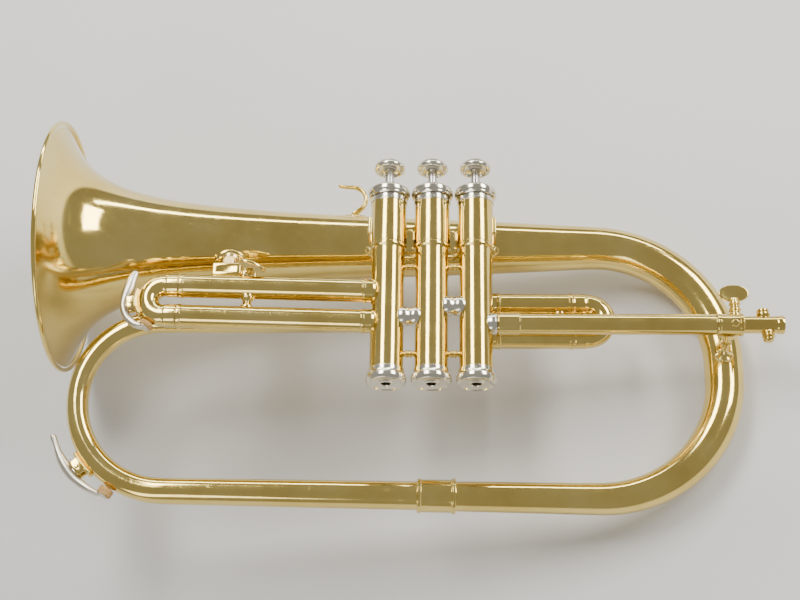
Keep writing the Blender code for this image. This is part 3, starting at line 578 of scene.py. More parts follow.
def bow_line():
    right = LOOP_JOIN_X - 2 * GAP
    points = [(x, -LOOP_DEPTH, bow_height(x)) for x in np.linspace(right, LOW_X, 50)]
    radii = list(np.interp([x for x, _, _ in points], (LOW_X, -60.0, right), (BOW_R[1], 7.9, BOW_R[0])))
    turn = arc((LOW_X, LOW_R - LOOP_DEPTH), LOW_R, 270, 180, 46)[1:]
    turn += arc((HIGH_X, TAIL_Y - HIGH_R), HIGH_R, 180, 90, 42)
    base = bow_height(LOW_X)
    for i, (x, y) in enumerate(turn):
        share = (i + 1) / len(turn)
        ease = share * share * (3 - 2 * share)
        points.append((x, y, base + (TAIL_Z - base) * ease))
        radii.append(BOW_R[1] + (BOW_R[2] - BOW_R[1]) * min(1.0, share * 2))
    for x in np.linspace(HIGH_X, -44.0, 34)[1:]:
        points.append((x, TAIL_Y, TAIL_Z))
        radii.append(np.interp(-x, (60.0, -HIGH_X), (BOW_R[3], BOW_R[2])))
    for x, rise in ((-40.0, 0.3), (-36.0, 0.8), (-32.0, 1.7), (-28.5, 2.6)):
        points.append((x, TAIL_Y, TAIL_Z + rise))
        radii.append(BOW_R[3])
    return smoothed(points, 6), smoothed(radii, 12)


def valve_at(number):
    return VALVE_X[number - 1], 0, VALVE_Z


def casing_core(number):
    """A tool just inside a casing's skin, so that what is soldered to it ends within its wall."""
    return drill(f"core_{number}", CASING_R - 0.35, -110, 40, valve_at(number), Y, around=ROUND)


def make_loop():
    points, radii = bow_line()
    tube = pipe("bottom_bow_tube", BRASS, points, radii, BOW_WALL, 64)
    show(cut(tube, casing_core(3)), ROOT, "bottom_bow")
    low, high = FERRULE_X
    length, r = high - low, FERRULE_R
    outline = [
        (r - 0.5, length, 0.1), (r, length, 0.2), (r + 0.95, length - 0.4, 0.5),
        (r + 0.95, length - 2.0, 0.5), (r, length - 2.7, 0.3), (r, 2.4, 0.3), (r + 0.55, 2.0, 0.25),
        (r + 0.55, 0.5, 0.25), (r, 0.15, 0.2), (r - 0.5, 0, 0.1)]
    ferrule = lathe(
        "loop_ferrule", BRASS, outline, (low, -LOOP_DEPTH, bow_height(low)), (1, 0, -BOW_RISE), True, ROUND)
    show(ferrule, ROOT, "bow_ferrule")


# ---------------------------------------------------------------- valves

def make_casing(number):
    seam, skin_r = SEAM_Y, CASING_R + 0.17
    outline = [
        (BORE_R, BARREL_TOP, 0.1), (BARREL_R - 1.2, BARREL_TOP, 0.1),
        (BARREL_R - 1.2, CAP_BOTTOM - 0.9, 0.1), (BARREL_R, CAP_BOTTOM - 1.2, 0.2),
        (BARREL_R, seam + 2.6, 0.1), (BARREL_R - 0.3, seam + 2.3, 0.1), (BARREL_R - 0.3, seam + 1.7, 0.1),
        (BARREL_R + 0.3, seam + 1.3, 0.3), (BARREL_R + 0.3, seam, 0.3), (skin_r + 0.15, seam - 0.9, 0.4),
        (skin_r, seam - 1.9, 0.5), (skin_r, FOOT_CAP_TOP - 1.0, 0.1),
        (CASING_R - 0.4, FOOT_CAP_TOP - 1.2, 0.1), (CASING_R - 0.4, CASING_BOTTOM, 0.2),
        (BORE_R, CASING_BOTTOM, 0.1)]
    shell = lathe(f"casing_shell_{number}", BRASS, outline, valve_at(number), Y, True)
    show(shell, ROOT, f"valve_casing_{number}")
    r = BARREL_R
    collar = [
        (r - 0.6, 15.9, 0.1), (r + 0.12, 15.9, 0.15), (r + 0.12, 13.9, 0.1), (r + 0.34, 13.6, 0.2),
        (r + 0.34, 12.9, 0.2), (r - 0.05, 12.5, 0.1), (r - 0.6, 12.5, 0.1)]
    show(lathe(f"casing_collar_{number}", NICKEL, collar, valve_at(number), Y, True), ROOT)


def make_caps(number):
    hole = STEM_R + 0.35
    outline = [
        (hole, CAP_TOP, 0.25), (5.4, CAP_TOP, 0.3), (5.9, CAP_TOP - 0.5, 0.2), (6.5, CAP_TOP - 0.3, 0.3),
        (10.6, CAP_TOP - 1.2, 1.6), (CAP_R, CAP_TOP - 2.7, 1.2), (CAP_R, CAP_BOTTOM + 2.4, 0.9),
        (CAP_R - 0.7, CAP_BOTTOM + 1.5, 0.3), (CAP_R - 0.8, CAP_BOTTOM + 0.8, 0.3),
        (BARREL_R + 0.35, CAP_BOTTOM + 0.1, 0.4), (BARREL_R - 0.8, CAP_BOTTOM, 0.1),
        (BARREL_R - 0.8, BARREL_TOP + GAP, 0.1), (hole, BARREL_TOP + GAP, 0.2)]
    cap = lathe(f"top_cap_turned_{number}", NICKEL, outline, valve_at(number), Y, True)
    show(cap, ROOT, f"top_cap_{number}")
    inner, end = CASING_R + 0.1, FOOT_CAP_END
    outline = [
        (inner, FOOT_CAP_TOP, 0.1), (inner + 0.75, FOOT_CAP_TOP, 0.3), (inner + 0.75, end + 6.4, 0.8),
        (inner + 1.2, end + 5.2, 0.8), (FOOT_CAP_R - 0.1, end + 4.4, 0.7), (FOOT_CAP_R, end + 2.3, 1.1),
        (FOOT_CAP_R - 0.9, end + 0.5, 0.9), (9.4, end, 0.5), (8.4, end + 0.8, 0.4), (5.2, end + 1.1, 0.4),
        (4.4, end + 0.4, 0.35), (3.2, end + 0.3, 0.3), (2.8, end + 0.8, 0.3), (2.8, end + 3.0, 0.2),
        (inner, end + 3.0, 0.2)]
    foot = lathe(f"bottom_cap_turned_{number}", NICKEL, outline, valve_at(number), Y, True)
    show(foot, ROOT, f"bottom_cap_{number}")


def make_piston(number):
    """The piston with its stem, and the mouths of its wind passages in the side."""
    r, top = BORE_R - PISTON_CLEAR, BUTTON_LOW + 1.7
    outline = [
        (0, top), (STEM_R, top, 0.2), (STEM_R, PISTON_TOP + 1.6, 0.2), (4.6, PISTON_TOP + 1.3, 0.4),
        (4.9, PISTON_TOP + 0.2, 0.2), (r - 0.6, PISTON_TOP, 0.3), (r, PISTON_TOP - 0.8, 0.3),
        (r, PISTON_BOTTOM, 0.3), (r - 1.2, PISTON_BOTTOM, 0.2), (r - 1.2, PISTON_TOP - 3.0, 0.4),
        (0, PISTON_TOP - 3.0)]
    piston = lathe(f"piston_body_{number}", "monel", outline, valve_at(number), Y)
    x, _, z = valve_at(number)
    for k, (height, side) in enumerate(PORTS):
        a = math.radians(side)
        way = (math.cos(a), 0, math.sin(a))
        cut(piston, drill(f"port_{number}_{k}", PORT_R, 4.0, 12.0, (x, height, z), way))
    show(piston, f"valve_{number}", f"piston_{number}")


def make_button(number):
    """The finger button with the felt ring under it."""
    body, low, high, top = f"valve_{number}", BUTTON_LOW, BUTTON_TOP + 0.9, BUTTON_LOW + 1.7
    outline = [
        (0, high), (3.6, high - 0.2, 0.6), (4.6, high - 0.9, 0.4), (4.8, high - 1.5, 0.15),
        (6.2, high - 2.0, 0.4), (7.2, high - 2.8, 0.3), (7.4, high - 3.1, 0.2),
        (BUTTON_R - 0.7, high - 4.0, 0.9), (BUTTON_R, low + 1.2, 1.1), (BUTTON_R - 0.5, low - 0.7, 1.0),
        (BUTTON_R - 2.0, low - 0.9, 0.6), (6.4, low + 0.7, 1.0), (4.4, low + 1.2, 0.3), (0, low + 1.2)]
    button = lathe(f"button_turned_{number}", NICKEL, outline, valve_at(number), Y)
    show(button, body, f"finger_button_{number}")
    outline = [
        (STEM_R + 0.2, top - 1.6, 0.2), (3.8, top - 1.6, 0.45), (3.8, top, 0.45), (STEM_R + 0.2, top, 0.2)]
    ring = lathe(f"felt_ring_{number}", "felt", outline, valve_at(number), Y, True, SMALL_ROUND)
    show(ring, body, f"button_felt_{number}")


def make_spring(number):
    """A coil under the piston with closed end turns."""
    low, high = CASING_BOTTOM + 0.6, PISTON_BOTTOM - GAP - SPRING_WIRE
    turns = SPRING_TURNS + 2
    points = []
    for t in np.linspace(0, turns, turns * 28 + 1):
        share = min(1.0, max(0.0, (t - 0.8) / (turns - 1.6)))
        a = math.tau * t
        points.append((SPRING_R * math.cos(a), low + (high - low) * share, SPRING_R * math.sin(a)))
    size = np.full(len(points), SPRING_WIRE)
    coil = rod(f"spring_coil_{number}", "spring_steel", points, size, size, 12, at_point(valve_at(number)))
    show(coil, ROOT, f"piston_spring_{number}")
    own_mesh(coil)


def make_between_casings():
    """Lobed knuckles that carry the wind across, and turned rods that brace the casings."""
    knots = [
        (3.2, 9.2), (4.0, 8.2), (4.9, 7.0), (5.6, 5.6), (5.95, 3.8), (5.8, 2.1), (5.3, 0.7), (5.0, 0.0)]
    lobes = mirrored([(2.4, 9.2), *through(knots, 5)])
    for label, x, y, pair in KNUCKLES:
        knuckle = lathe(f"knuckle_lobed_{label}", NICKEL, lobes, (x, y, VALVE_Z + 2.0), X, True, radius=0)
        show(cut(knuckle, *(casing_core(n) for n in pair)), ROOT, f"knuckle_{label}")
        for level, rod_y in ROD_LEVELS:
            reach = SPACING / 2 - CASING_R + 0.5
            outline = mirrored(
                [(0, reach), (2.7, reach), (2.2, reach - 0.6, 0.3), (1.45, reach - 1.4, 0.5),
                (1.45, 1.75, 0.2), (2.3, 1.35, 0.3), (2.3, 0.55, 0.3), (1.6, 0.15, 0.1)])
            brace = lathe(
                f"brace_turned_{level}_{label}", BRASS, outline, (x, rod_y, VALVE_Z), X, around=SMALL_ROUND)
            show(brace, ROOT, f"brace_rod_{level}_{label}")


def make_bell_brackets():
    """Plates from the outer barrels down to the bell, each with a round boss at the seam."""
    for label, side, number in (("left", -1, 3), ("right", 1, 1)):
        x = side * (SPACING + 10.4)
        at = (x, BRACKET_Y, BRACKET_Z)
        plate = rounded_block(f"bracket_plate_{label}", BRASS, BRACKET_SIZE, at, radius=0.9)
        barrel = drill(f"barrel_core_{label}", BARREL_R - 0.4, -60, 40, valve_at(number), Y, around=ROUND)
        bell = drill(f"bell_core_{label}", flare_radius(x) - 0.4, -40, 40, (x, 0, 0), X, around=ROUND)
        show(cut(plate, barrel, bell), ROOT, f"bell_bracket_{label}")
        outline = [
            (0, 3.4), (1.6, 3.3, 0.6), (2.5, 2.2, 0.9), (2.6, 0.9, 0.8), (1.9, 0.0, 0.4), (2.9, -0.9, 0.6),
            (3.0, -2.4, 0.5), (0, -2.6)]
        boss = lathe(
            f"bracket_boss_{label}", BRASS, outline, (x, SEAM_Y + 1.6, VALVE_Z - 5.0),
            (side * 0.55, -0.1, 0.8), around=SMALL_ROUND)
        show(boss, ROOT)


# ---------------------------------------------------------------- slides

def slide_holder(y_pair, z, tilt, side):
    turn = Matrix.Rotation(tilt if side > 0 else math.pi - tilt, 4, "Z")
    return Matrix.Translation(Vector((side * BLOCK_END, sum(y_pair) / 2, z)) * MM) @ turn


def sleeve_outline(length):
    """One sleeve's section: a ferrule at the valve, a plain tube, and a ring at its open end."""
    r, bore = SLEEVE_R, SLEEVE_R - SLEEVE_WALL
    return [
        (bore, length, 0.1), (r + 0.2, length, 0.2), (r + 0.4, length - 0.5, 0.3),
        (r + 0.4, length - 2.2, 0.3), (r, length - 2.7, 0.2), (r, 5.0, 0.1), (r + 0.12, 4.8, 0.1),
        (r + 0.5, 4.4, 0.3), (r + 0.5, 3.2, 0.3), (r + 0.2, 2.8, 0.2), (r + 0.2, -1.3, 0.8),
        (r - 0.4, -2.7, 0.8), (r - 1.7, -3.4, 0.5), (4.4, -3.5, 0.1), (4.4, -2.4, 0.1), (bore, -1.6, 0.1)]


def make_sleeves(label, holder, half, length, number, node_names, brace_at=None):
    for level, side in LEVELS:
        name = f"{label}_sleeve_{level}"
        tube = lathe(name, BRASS, sleeve_outline(length), (0, side * half, 0), X, True, 72, holder=holder)
        cut(tube, casing_core(number))
        show(tube, ROOT, *(node_names if level == "upper" else node_names[-1:]))
    if brace_at is None:
        return
    gap = half - SLEEVE_R
    outline = mirrored(
        [(0, gap + 1.2), (4.4, gap + 1.2, 0.2), (4.3, gap + 0.1, 0.4), (3.6, gap - 0.6, 0.6),
        (2.7, 1.1, 1.2), (2.4, 0, 0.8)])
    brace = lathe(
        f"{label}_slide_brace", BRASS, outline, (brace_at, 0, 0), Y, around=SMALL_ROUND, holder=holder)
    for level, side in LEVELS:
        bore = drill(
            f"{label}_brace_bore_{level}", SLEEVE_R - 0.25, 0, length, (0, side * half, 0), X, holder, 72)
        cut(brace, bore)
    show(brace, ROOT)


def make_slide_bow(label, holder, half, mouth):
    """The bend with its two thick ferrules, and the two drawn inner legs."""
    start, bend_r, body = mouth + BOW_FERRULE, SLEEVE_R - 0.375, f"{label}_slide"
    legs = []
    for side in (1, -1):
        y, r = side * half, SLEEVE_R
        outline = [
            (INNER_R - INNER_WALL, mouth + GAP, 0.1), (r - 0.1, mouth + GAP, 0.2),
            (r + 0.05, mouth + 0.9, 0.2), (r + 0.05, mouth + 6.6, 0.3), (bend_r + 0.1, mouth + 7.6, 0.3),
            (bend_r, start + 0.4, 0.1), (INNER_R - INNER_WALL, start + 0.4, 0.1)]
        level = "upper" if side > 0 else "lower"
        ferrule = lathe(f"{label}_bow_ferrule_{level}", BRASS, outline, (0, y, 0), X, True, 72, holder=holder)
        show(ferrule, body)
        points = [(x, y, 0) for x in np.linspace(mouth - INSERTS[label], mouth + 2.0, 12)]
        leg = pipe(f"{label}_inner_leg_{level}", RAW, points, np.full(12, INNER_R), INNER_WALL, 64, holder)
        legs.append(leg)
    for leg in legs:
        show(leg, body)
    turn = [(x, y, 0) for x, y in arc((start, 0), half, 90, -90, 72)]
    bend = pipe(f"{label}_bow_bend", BRASS, turn, np.full(72, bend_r), INNER_WALL, 72, holder)
    show(bend, body, f"{label}_slide_bow")


def make_slides():
    half = (THIRD_Y[0] - THIRD_Y[1]) / 2
    holder = slide_holder(THIRD_Y, THIRD_Z, THIRD_TILT, -1)
    length = -THIRD_END - BLOCK_END
    make_sleeves("third", holder, half, length, 3, ["third_slide_sleeves"], -THIRD_BRACE_X - BLOCK_END)
    make_slide_bow("third", holder, half, length)
    make_third_key(holder, half, length)
    half = (FIRST_Y[0] - FIRST_Y[1]) / 2
    holder = slide_holder(FIRST_Y, FIRST_Z, 0.0, 1)
    length = FIRST_END - BLOCK_END
    make_sleeves("first", holder, half, length, 1, ["first_slide_sleeves"], FIRST_BRACE_X - BLOCK_END)
    make_slide_bow("first", holder, half, length)
    half = (SECOND_Y[0] - SECOND_Y[1]) / 2
    start = VALVE_Z - CASING_R
    holder = at_point((0, sum(SECOND_Y) / 2, start), turn=Matrix.Rotation(math.pi / 2, 4, "Y"))
    length = start - SECOND_END
    make_sleeves(
        "second", holder, half, length, 2, ["second_slide_sleeve_upper", "second_slide_sleeve_lower"])
    make_slide_bow("second", holder, half, length)


# ---------------------------------------------------------------- leadpipe

def make_leadpipe():
    at, start = LEAD_AT, BLOCK_END
    lobe = [
        (5.0, 37.5, 0.1), (5.7, 37.5, 0.4), (6.35, 36.3, 1.0), (6.3, 34.2, 1.0), (5.7, 32.0, 0.8),
        (4.6, 29.6, 0.4), (3.9, 29.6, 0.1), (4.2, 33.0, 0.3)]
    knuckle = lathe("leadpipe_knuckle_turned", NICKEL, lobe, at, X, True)
    show(cut(knuckle, casing_core(1)), ROOT, "leadpipe_knuckle")
    r = LEAD_R
    outline = [
        (r - 0.7, LEAD_END, 0.1), (r, LEAD_END, 0.25), (r, 50.6, 0.1), (r + 0.5, 50.0, 0.3),
        (r + 0.5, start + 3.3, 0.3), (r + 0.1, start + 2.9, 0.2), (r - 0.7, start + 2.9, 0.1)]
    show(lathe("leadpipe_tube", BRASS, outline, at, X, True), ROOT, "leadpipe_sleeve")
    r, bore = PIPE_R, PIPE_R - PIPE_WALL
    outline = [
        (bore, PIPE_END, 0.25), (r + 0.25, PIPE_END, 0.4), (r + 0.4, PIPE_END - 1.4, 0.3),
        (r + 0.3, PIPE_END - 3.6, 0.4), (r, PIPE_END - 4.2, 0.2), (r, PIPE_START, 0.2),
        (bore, PIPE_START, 0.1)]
    show(lathe("mouthpipe_tube", BRASS, outline, at, X, True), "mouthpipe", "mouthpipe")


def make_pull_knobs():
    r = PIPE_R
    knobs = {
        "upper": (188.2, 1, [
            (0, r + 4.7), (2.6, r + 4.6, 0.7), (3.5, r + 3.9, 0.5), (3.5, r + 2.8, 0.5), (2.9, r + 2.3, 0.3),
            (3.9, r + 1.8, 0.4), (4.0, r + 0.7, 0.4), (3.4, r + 0.1, 0.3), (3.0, r - 1.2), (0, r - 1.2)]),
        "lower": (190.3, -1, [
            (0, r + 5.7), (1.7, r + 5.6, 0.8), (2.9, r + 4.7, 0.7), (3.2, r + 3.8, 0.6), (2.5, r + 3.0, 0.2),
            (3.7, r + 2.6, 0.4), (3.8, r + 1.9, 0.4), (2.9, r + 1.5, 0.2), (3.7, r + 1.0, 0.3),
            (3.8, r + 0.3, 0.3), (3.3, r - 1.2), (0, r - 1.2)])}
    for label, (x, side, outline) in knobs.items():
        knob = lathe(
            f"pull_knob_{label}", BRASS, outline, (x, LEAD_Y, LEAD_Z), (0, side, 0), around=SMALL_ROUND)
        cut(knob, drill(f"knob_bore_{label}", r - 0.3, 150, 210, LEAD_AT, X, around=ROUND))
        show(knob, "mouthpipe")


def paddle(name, long, wide, thick, holder):
    """A coined oval with a rounded edge and slightly dished faces."""
    angles = np.linspace(0, math.tau, 72, endpoint=False)
    section = [(0.0, 0.30), (0.55, 0.32), (0.80, 0.42), (0.93, 0.50), (0.985, 0.38), (1.0, 0.12)]
    levels = section + [(share, -height) for share, height in section[::-1]]
    rings = [
        np.column_stack([long * s * np.cos(angles), wide * s * np.sin(angles), np.full(72, h * thick)])
        for s, h in levels]
    return new_piece(name, skin(name, rings, False), BRASS, holder, 60.0)


def make_thumbscrew(label, at, along, turn, length, size, body):
    """A stack of turned collars with a coined oval paddle let into its end."""
    outline = [
        (0, length + 1.6), (1.9, length + 1.5, 0.5), (2.3, length + 0.4, 0.5), (2.2, length - 1.2, 0.2),
        (3.3, length - 1.6, 0.4), (3.4, length - 2.6, 0.4), (2.5, length - 3.1, 0.2),
        (2.9, length - 3.9, 0.4), (2.9, 3.1, 0.4), (2.4, 2.6, 0.2), (3.5, 2.1, 0.4), (3.5, 1.1, 0.4),
        (2.7, 0.7, 0.2), (2.7, 0, 0.1), (0, 0)]
    stem = lathe(f"{label}_screw_stem", BRASS, outline, at, along, around=SMALL_ROUND)
    show(stem, body, f"{label}_screw")
    centre = Vector(at) + Vector(along) * (length + size[0] - 0.6)
    show(paddle(f"{label}_screw_paddle", *size, 1.9, at_point(centre, turn=turn)), body)


def make_clamp():
    low, high = CLAMP_X
    length, bore = high - low, PIPE_R + 0.3
    r = COLLAR_R
    outline = [
        (bore, 0, 0.1), (r - 0.3, 0, 0.2), (r, 0.6, 0.3), (r - 0.1, 1.8, 0.3), (r - 0.4, 2.2, 0.2),
        (r - 0.4, length - 2.4, 0.2), (r, length - 2.0, 0.3), (r, length - 0.5, 0.4),
        (r - 0.4, length, 0.3), (bore, length, 0.1)]
    ring = lathe("clamp_collar", BRASS, outline, (low, LEAD_Y, LEAD_Z), X, True)
    slit = rounded_block(
        "clamp_slit", BRASS, (7.0, 0.9, 6.0), (low - 0.8, LEAD_Y + 1.2, LEAD_Z + 6.2), radius=0.2)
    cut(ring, slit)
    boss = [(0, 7.3), (1.7, 7.2, 0.4), (2.2, 6.7, 0.4), (2.3, 6.0, 0.2), (2.3, 5.2), (0, 5.2)]
    stud = lathe("clamp_stud", BRASS, boss, (low + 9.6, LEAD_Y, LEAD_Z), (0, -0.25, 1), around=SMALL_ROUND)
    show(ring, ROOT, "clamp_ring")
    show(cut(stud, drill("clamp_core", r - 0.7, 150, 180, LEAD_AT, X, around=ROUND)), ROOT)
    nut = [(0, CLAMP_R), (2.9, CLAMP_R, 0.3), (3.1, CLAMP_R - 0.7, 0.3), (3.1, 5.2), (0, 5.2)]
    seat = lathe("clamp_nut", BRASS, nut, (CLAMP_SCREW_X, LEAD_Y, LEAD_Z), Y, around=SMALL_ROUND)
    cut(seat, drill("nut_core", r - 0.7, 150, 190, LEAD_AT, X, around=ROUND))
    show(seat, ROOT)
    base = (CLAMP_SCREW_X, LEAD_Y + CLAMP_R + GAP, LEAD_Z)
    make_thumbscrew("clamp", base, Y, Matrix.Rotation(math.pi / 2, 4, "Z"), 7.6, (5.2, 8.8), "clamp_screw")


def make_leadpipe_brace():
    along = Vector((BRACE_FOOT.x, LEAD_Y, LEAD_Z)) - BRACE_FOOT
    top = along.length - CLAMP_R
    outline = [
        (0, along.length), (5.0, along.length), (4.9, top - 0.6, 0.6), (4.0, top - 1.7, 0.6),
        (2.3, top - 2.4, 0.5), (1.9, 12.6, 0.4), (3.0, 12.0, 0.5), (3.2, 10.9, 0.6), (2.7, 9.9, 0.4),
        (1.8, 9.3, 0.6), (1.9, 6.0, 0.8), (2.6, 4.4, 0.6), (3.6, 3.3, 0.8), (5.2, 2.4, 0.5), (5.4, 0),
        (0, 0)]
    brace = lathe("leadpipe_brace_turned", BRASS, outline, BRACE_FOOT, along, around=72)
    clamp_core = drill("clamp_inside", CLAMP_R - 0.4, 140, 190, LEAD_AT, X, around=ROUND)
    crook_core = drill(
        "crook_inside", CROOK_TUBE_R[1] - 0.4, -110, -50, (CROOK_X + CROOK_R, 0, 0), Y, around=ROUND)
    show(cut(brace, clamp_core, crook_core), ROOT, "leadpipe_brace")


# ---------------------------------------------------------------- fittings

def saddle_plate(name, x_at, angle, long, wide, thick, corner=1.0):
    """An oval plate bent round the bell tube; angle is measured from +Y towards +Z."""
    levels = [
        (0.0, thick), (0.55, thick), (0.82, thick * 0.96), (0.95, thick * 0.7), (1.0, 0.1), (0.97, -0.35),
        (0.5, -0.35), (0.0, -0.35)]
    turns = np.linspace(0, math.tau, 64, endpoint=False)
    rings = []
    for share, height in levels:
        ring = []
        for t in turns:
            shape = 1.0 - (1.0 - corner) * abs(math.sin(2 * t))
            x = x_at + long * share * shape * math.cos(t)
            r = flare_radius(x) + height
            a = angle + wide * share * shape * math.sin(t) / r
            ring.append((x, r * math.cos(a), r * math.sin(a)))
        rings.append(ring)
    return new_piece(name, skin(name, rings, False), BRASS, sharp=60.0)


def make_lyre_holder():
    """A box on a domed foot. The lyre's stem goes down through it, past the bell, and notches the dome."""
    x, y, z = LYRE_AT
    wide, deep = LYRE_SOCKET
    frame_width, top = 4.6, z + LYRE_SIZE[2] / 2
    box = rounded_block("lyre_holder_box", BRASS, LYRE_SIZE, LYRE_AT, radius=1.1)
    face = (LYRE_SIZE[0] - frame_width, LYRE_SIZE[1] - frame_width, 0.6)
    panel = rounded_block("lyre_panel", BRASS, face, (x, y, top), radius=0.2)
    tunnel = rounded_block("lyre_tunnel", BRASS, (wide, 24.0, deep), LYRE_AT, radius=0.4)
    lug = rounded_block("lyre_lug", BRASS, LYRE_LUG, LYRE_LUG_AT, radius=1.2)
    show(joined(cut(box, tunnel, panel), lug), ROOT, "lyre_box")
    out = Vector((0, -math.cos(LYRE_FOOT_ANGLE), math.sin(LYRE_FOOT_ANGLE)))
    base = flare_radius(x) - 1.0
    outline = [
        (0, 12.0), (2.2, 11.8, 1.2), (4.3, 10.0, 1.8), (5.5, 7.4, 1.8), (5.5, 4.8, 1.2), (5.0, 3.4, 0.8),
        (5.8, 2.3, 0.7), (6.6, 1.2, 0.3), (0, 1.2)]
    dome = lathe("lyre_foot_dome", RAW, outline, Vector((x, 0, 0)) + out * base, out, around=72)
    notch = rounded_block("lyre_notch", BRASS, (wide, 24.0, deep), LYRE_AT, radius=0.4)
    show(cut(dome, notch), ROOT)
    show(saddle_plate("lyre_foot_plate", x, math.pi - LYRE_FOOT_ANGLE, 9.4, 8.0, 1.2), ROOT)
    normal = LYRE_SCREW_ALONG.cross(LYRE_PADDLE_ACROSS)
    turn = Matrix((LYRE_SCREW_ALONG, LYRE_PADDLE_ACROSS, normal)).transposed().to_4x4()
    make_thumbscrew("lyre", LYRE_SCREW_AT, LYRE_SCREW_ALONG, turn, 6.6, (4.8, 8.3), "lyre_screw")


def make_finger_hook():
    """A strip bent into a hook, with a pointed foot soldered to the bell."""
    x, y = HOOK_CENTRE
    tip = [(x - 1.6, y + 8.6), (x - 4.0, y + 8.5), (x - 6.0, y + 8.9), (x - 7.6, y + 9.6)]
    outline = [(x + 1.5, y - 10.4), *arc(HOOK_CENTRE, HOOK_R, -48, 92, 40), *tip]
    points = smoothed([(*at, HOOK_Z) for at in outline], 4)
    share = np.linspace(0, 1, len(points))
    broad = np.interp(share, (0.0, 0.15, 0.8, 1.0), (2.6, 2.1, 2.1, 1.7))
    thin = np.interp(share, (0.0, 0.1, 0.75, 1.0), (1.7, 1.5, 1.4, 0.9))
    show(rod("finger_hook_strip", BRASS, points, broad, thin, 28), ROOT, "finger_hook")
    foot_angle = math.atan2(HOOK_Z, flare_radius(x))
    show(saddle_plate("finger_hook_foot", x + 1.5, foot_angle, 9.0, 4.6, 1.0, 0.75), ROOT)


def polar(radius, degrees, z=0.0):
    a = math.radians(degrees)
    return Vector((radius * math.cos(a), radius * math.sin(a), z))


def make_saddle(label, bend, tube_r, pin, base, lug_wide, body):
    """A curved base on the bend with two lugs that hold the pin; base is its half length along the bend."""
    pin_r, pin_angle = pin
    turn = Matrix.Rotation(math.radians(pin_angle), 4, "Z")
    tall = pin_r + 2.5 - tube_r - GAP
    for side, z in (("front", 3.3), ("back", -3.3)):
        lug = rounded_block(
            f"key_lug_{side}_{label}", BRASS, (tall, lug_wide, 1.9),
            polar(tube_r + GAP + tall / 2, pin_angle, z), turn, 0.8, bend)
        show(lug, body, *([f"water_key_saddle_{label}"] if side == "front" else []))
    reach = math.degrees(base / tube_r)
    plate_line = [polar(tube_r + 0.1, a) for a in np.linspace(pin_angle - reach, pin_angle + reach, 24)]
    plate = rod(
        f"key_saddle_plate_{label}", BRASS, plate_line, np.full(24, 4.1), np.full(24, 1.7), 28, bend)
    show(plate, body)
    outline = mirrored([(0, 4.9), (1.2, 4.8, 0.4), (1.5, 4.4, 0.3), (0.9, 4.2, 0.05)])
    pin_piece = lathe(
        f"key_pin_{label}", BRASS, outline, polar(pin_r, pin_angle), Z, around=SMALL_ROUND, holder=bend)
    show(pin_piece, body, f"water_key_pin_{label}")


def make_lever(label, bend, pin, lever, body):
    """The leaf-shaped lever with its hinge tube."""
    pin_r, pin_angle = pin
    stations = through([(*polar(r, a)[:2], thick, broad) for r, a, thick, broad in lever], 12)
    points = [(x, y, 0.0) for x, y in stations[:, :2]]
    arm = rod(f"key_lever_{label}", CAST, points, stations[:, 3], stations[:, 2], 28, bend)
    at = polar(pin_r, pin_angle)
    ridges = mirrored([(0, 2.2), (1.9, 2.1, 0.3), (1.95, 1.5, 0.1), (1.7, 1.3, 0.1), (1.95, 1.1, 0.1)])
    bearing = lathe(f"key_bearing_{label}", CAST, ridges, at, Z, around=SMALL_ROUND, holder=bend)
    top = lever_radius(lever, pin_angle)
    turn = Matrix.Rotation(math.radians(pin_angle), 4, "Z")
    web = rounded_block(
        f"key_web_{label}", CAST, (top - pin_r + 1.5, 3.6, 3.0), polar((top + pin_r) / 2, pin_angle), turn,
        0.7, bend)
    joined(arm, bearing, web)
    cut(arm, drill(f"key_hole_{label}", KEY_PIN_R + 0.1, -9, 9, at, Z, bend))
    show(arm, body, f"water_key_lever_{label}")


def make_pad(label, bend, tube_r, pad_angle, roof, bodies):
    """The cork under its plate, and the nipple it closes; roof is the cork's top from the bend's centre."""
    low, r, out = tube_r + GAP, PAD_R, polar(1, pad_angle)
    outline = [(1.3, 1.7, 0.1), (2.1, 1.7, 0.3), (2.4, 0.8, 0.3), (2.9, -0.6), (1.3, -0.6)]
    nipple = lathe(
        f"key_nipple_{label}", BRASS, outline, polar(tube_r - 1.75, pad_angle), out, True, SMALL_ROUND,
        holder=bend)
    show(nipple, bodies[0])
    outline = [
        (0, roof + 0.9), (2.0, roof + 0.9, 0.4), (r - 0.7, roof + 0.4, 0.4), (r - 0.6, roof - 0.2, 0.2),
        (0, roof - 0.2)]
    cup = lathe(f"key_cup_{label}", CAST, outline, polar(0, 0), out, around=SMALL_ROUND, holder=bend)
    show(cup, bodies[1])
    outline = [
        (0, roof - 0.1), (r - 0.9, roof - 0.1, 0.5), (r, roof - 0.9, 0.8), (r + 0.1, low + 0.9, 0.6),
        (r - 0.4, low, 0.5), (0, low)]
    pad = lathe(f"key_cork_{label}", "cork", outline, polar(0, 0), out, around=SMALL_ROUND, holder=bend)
    show(pad, bodies[1], f"water_key_pad_{label}")


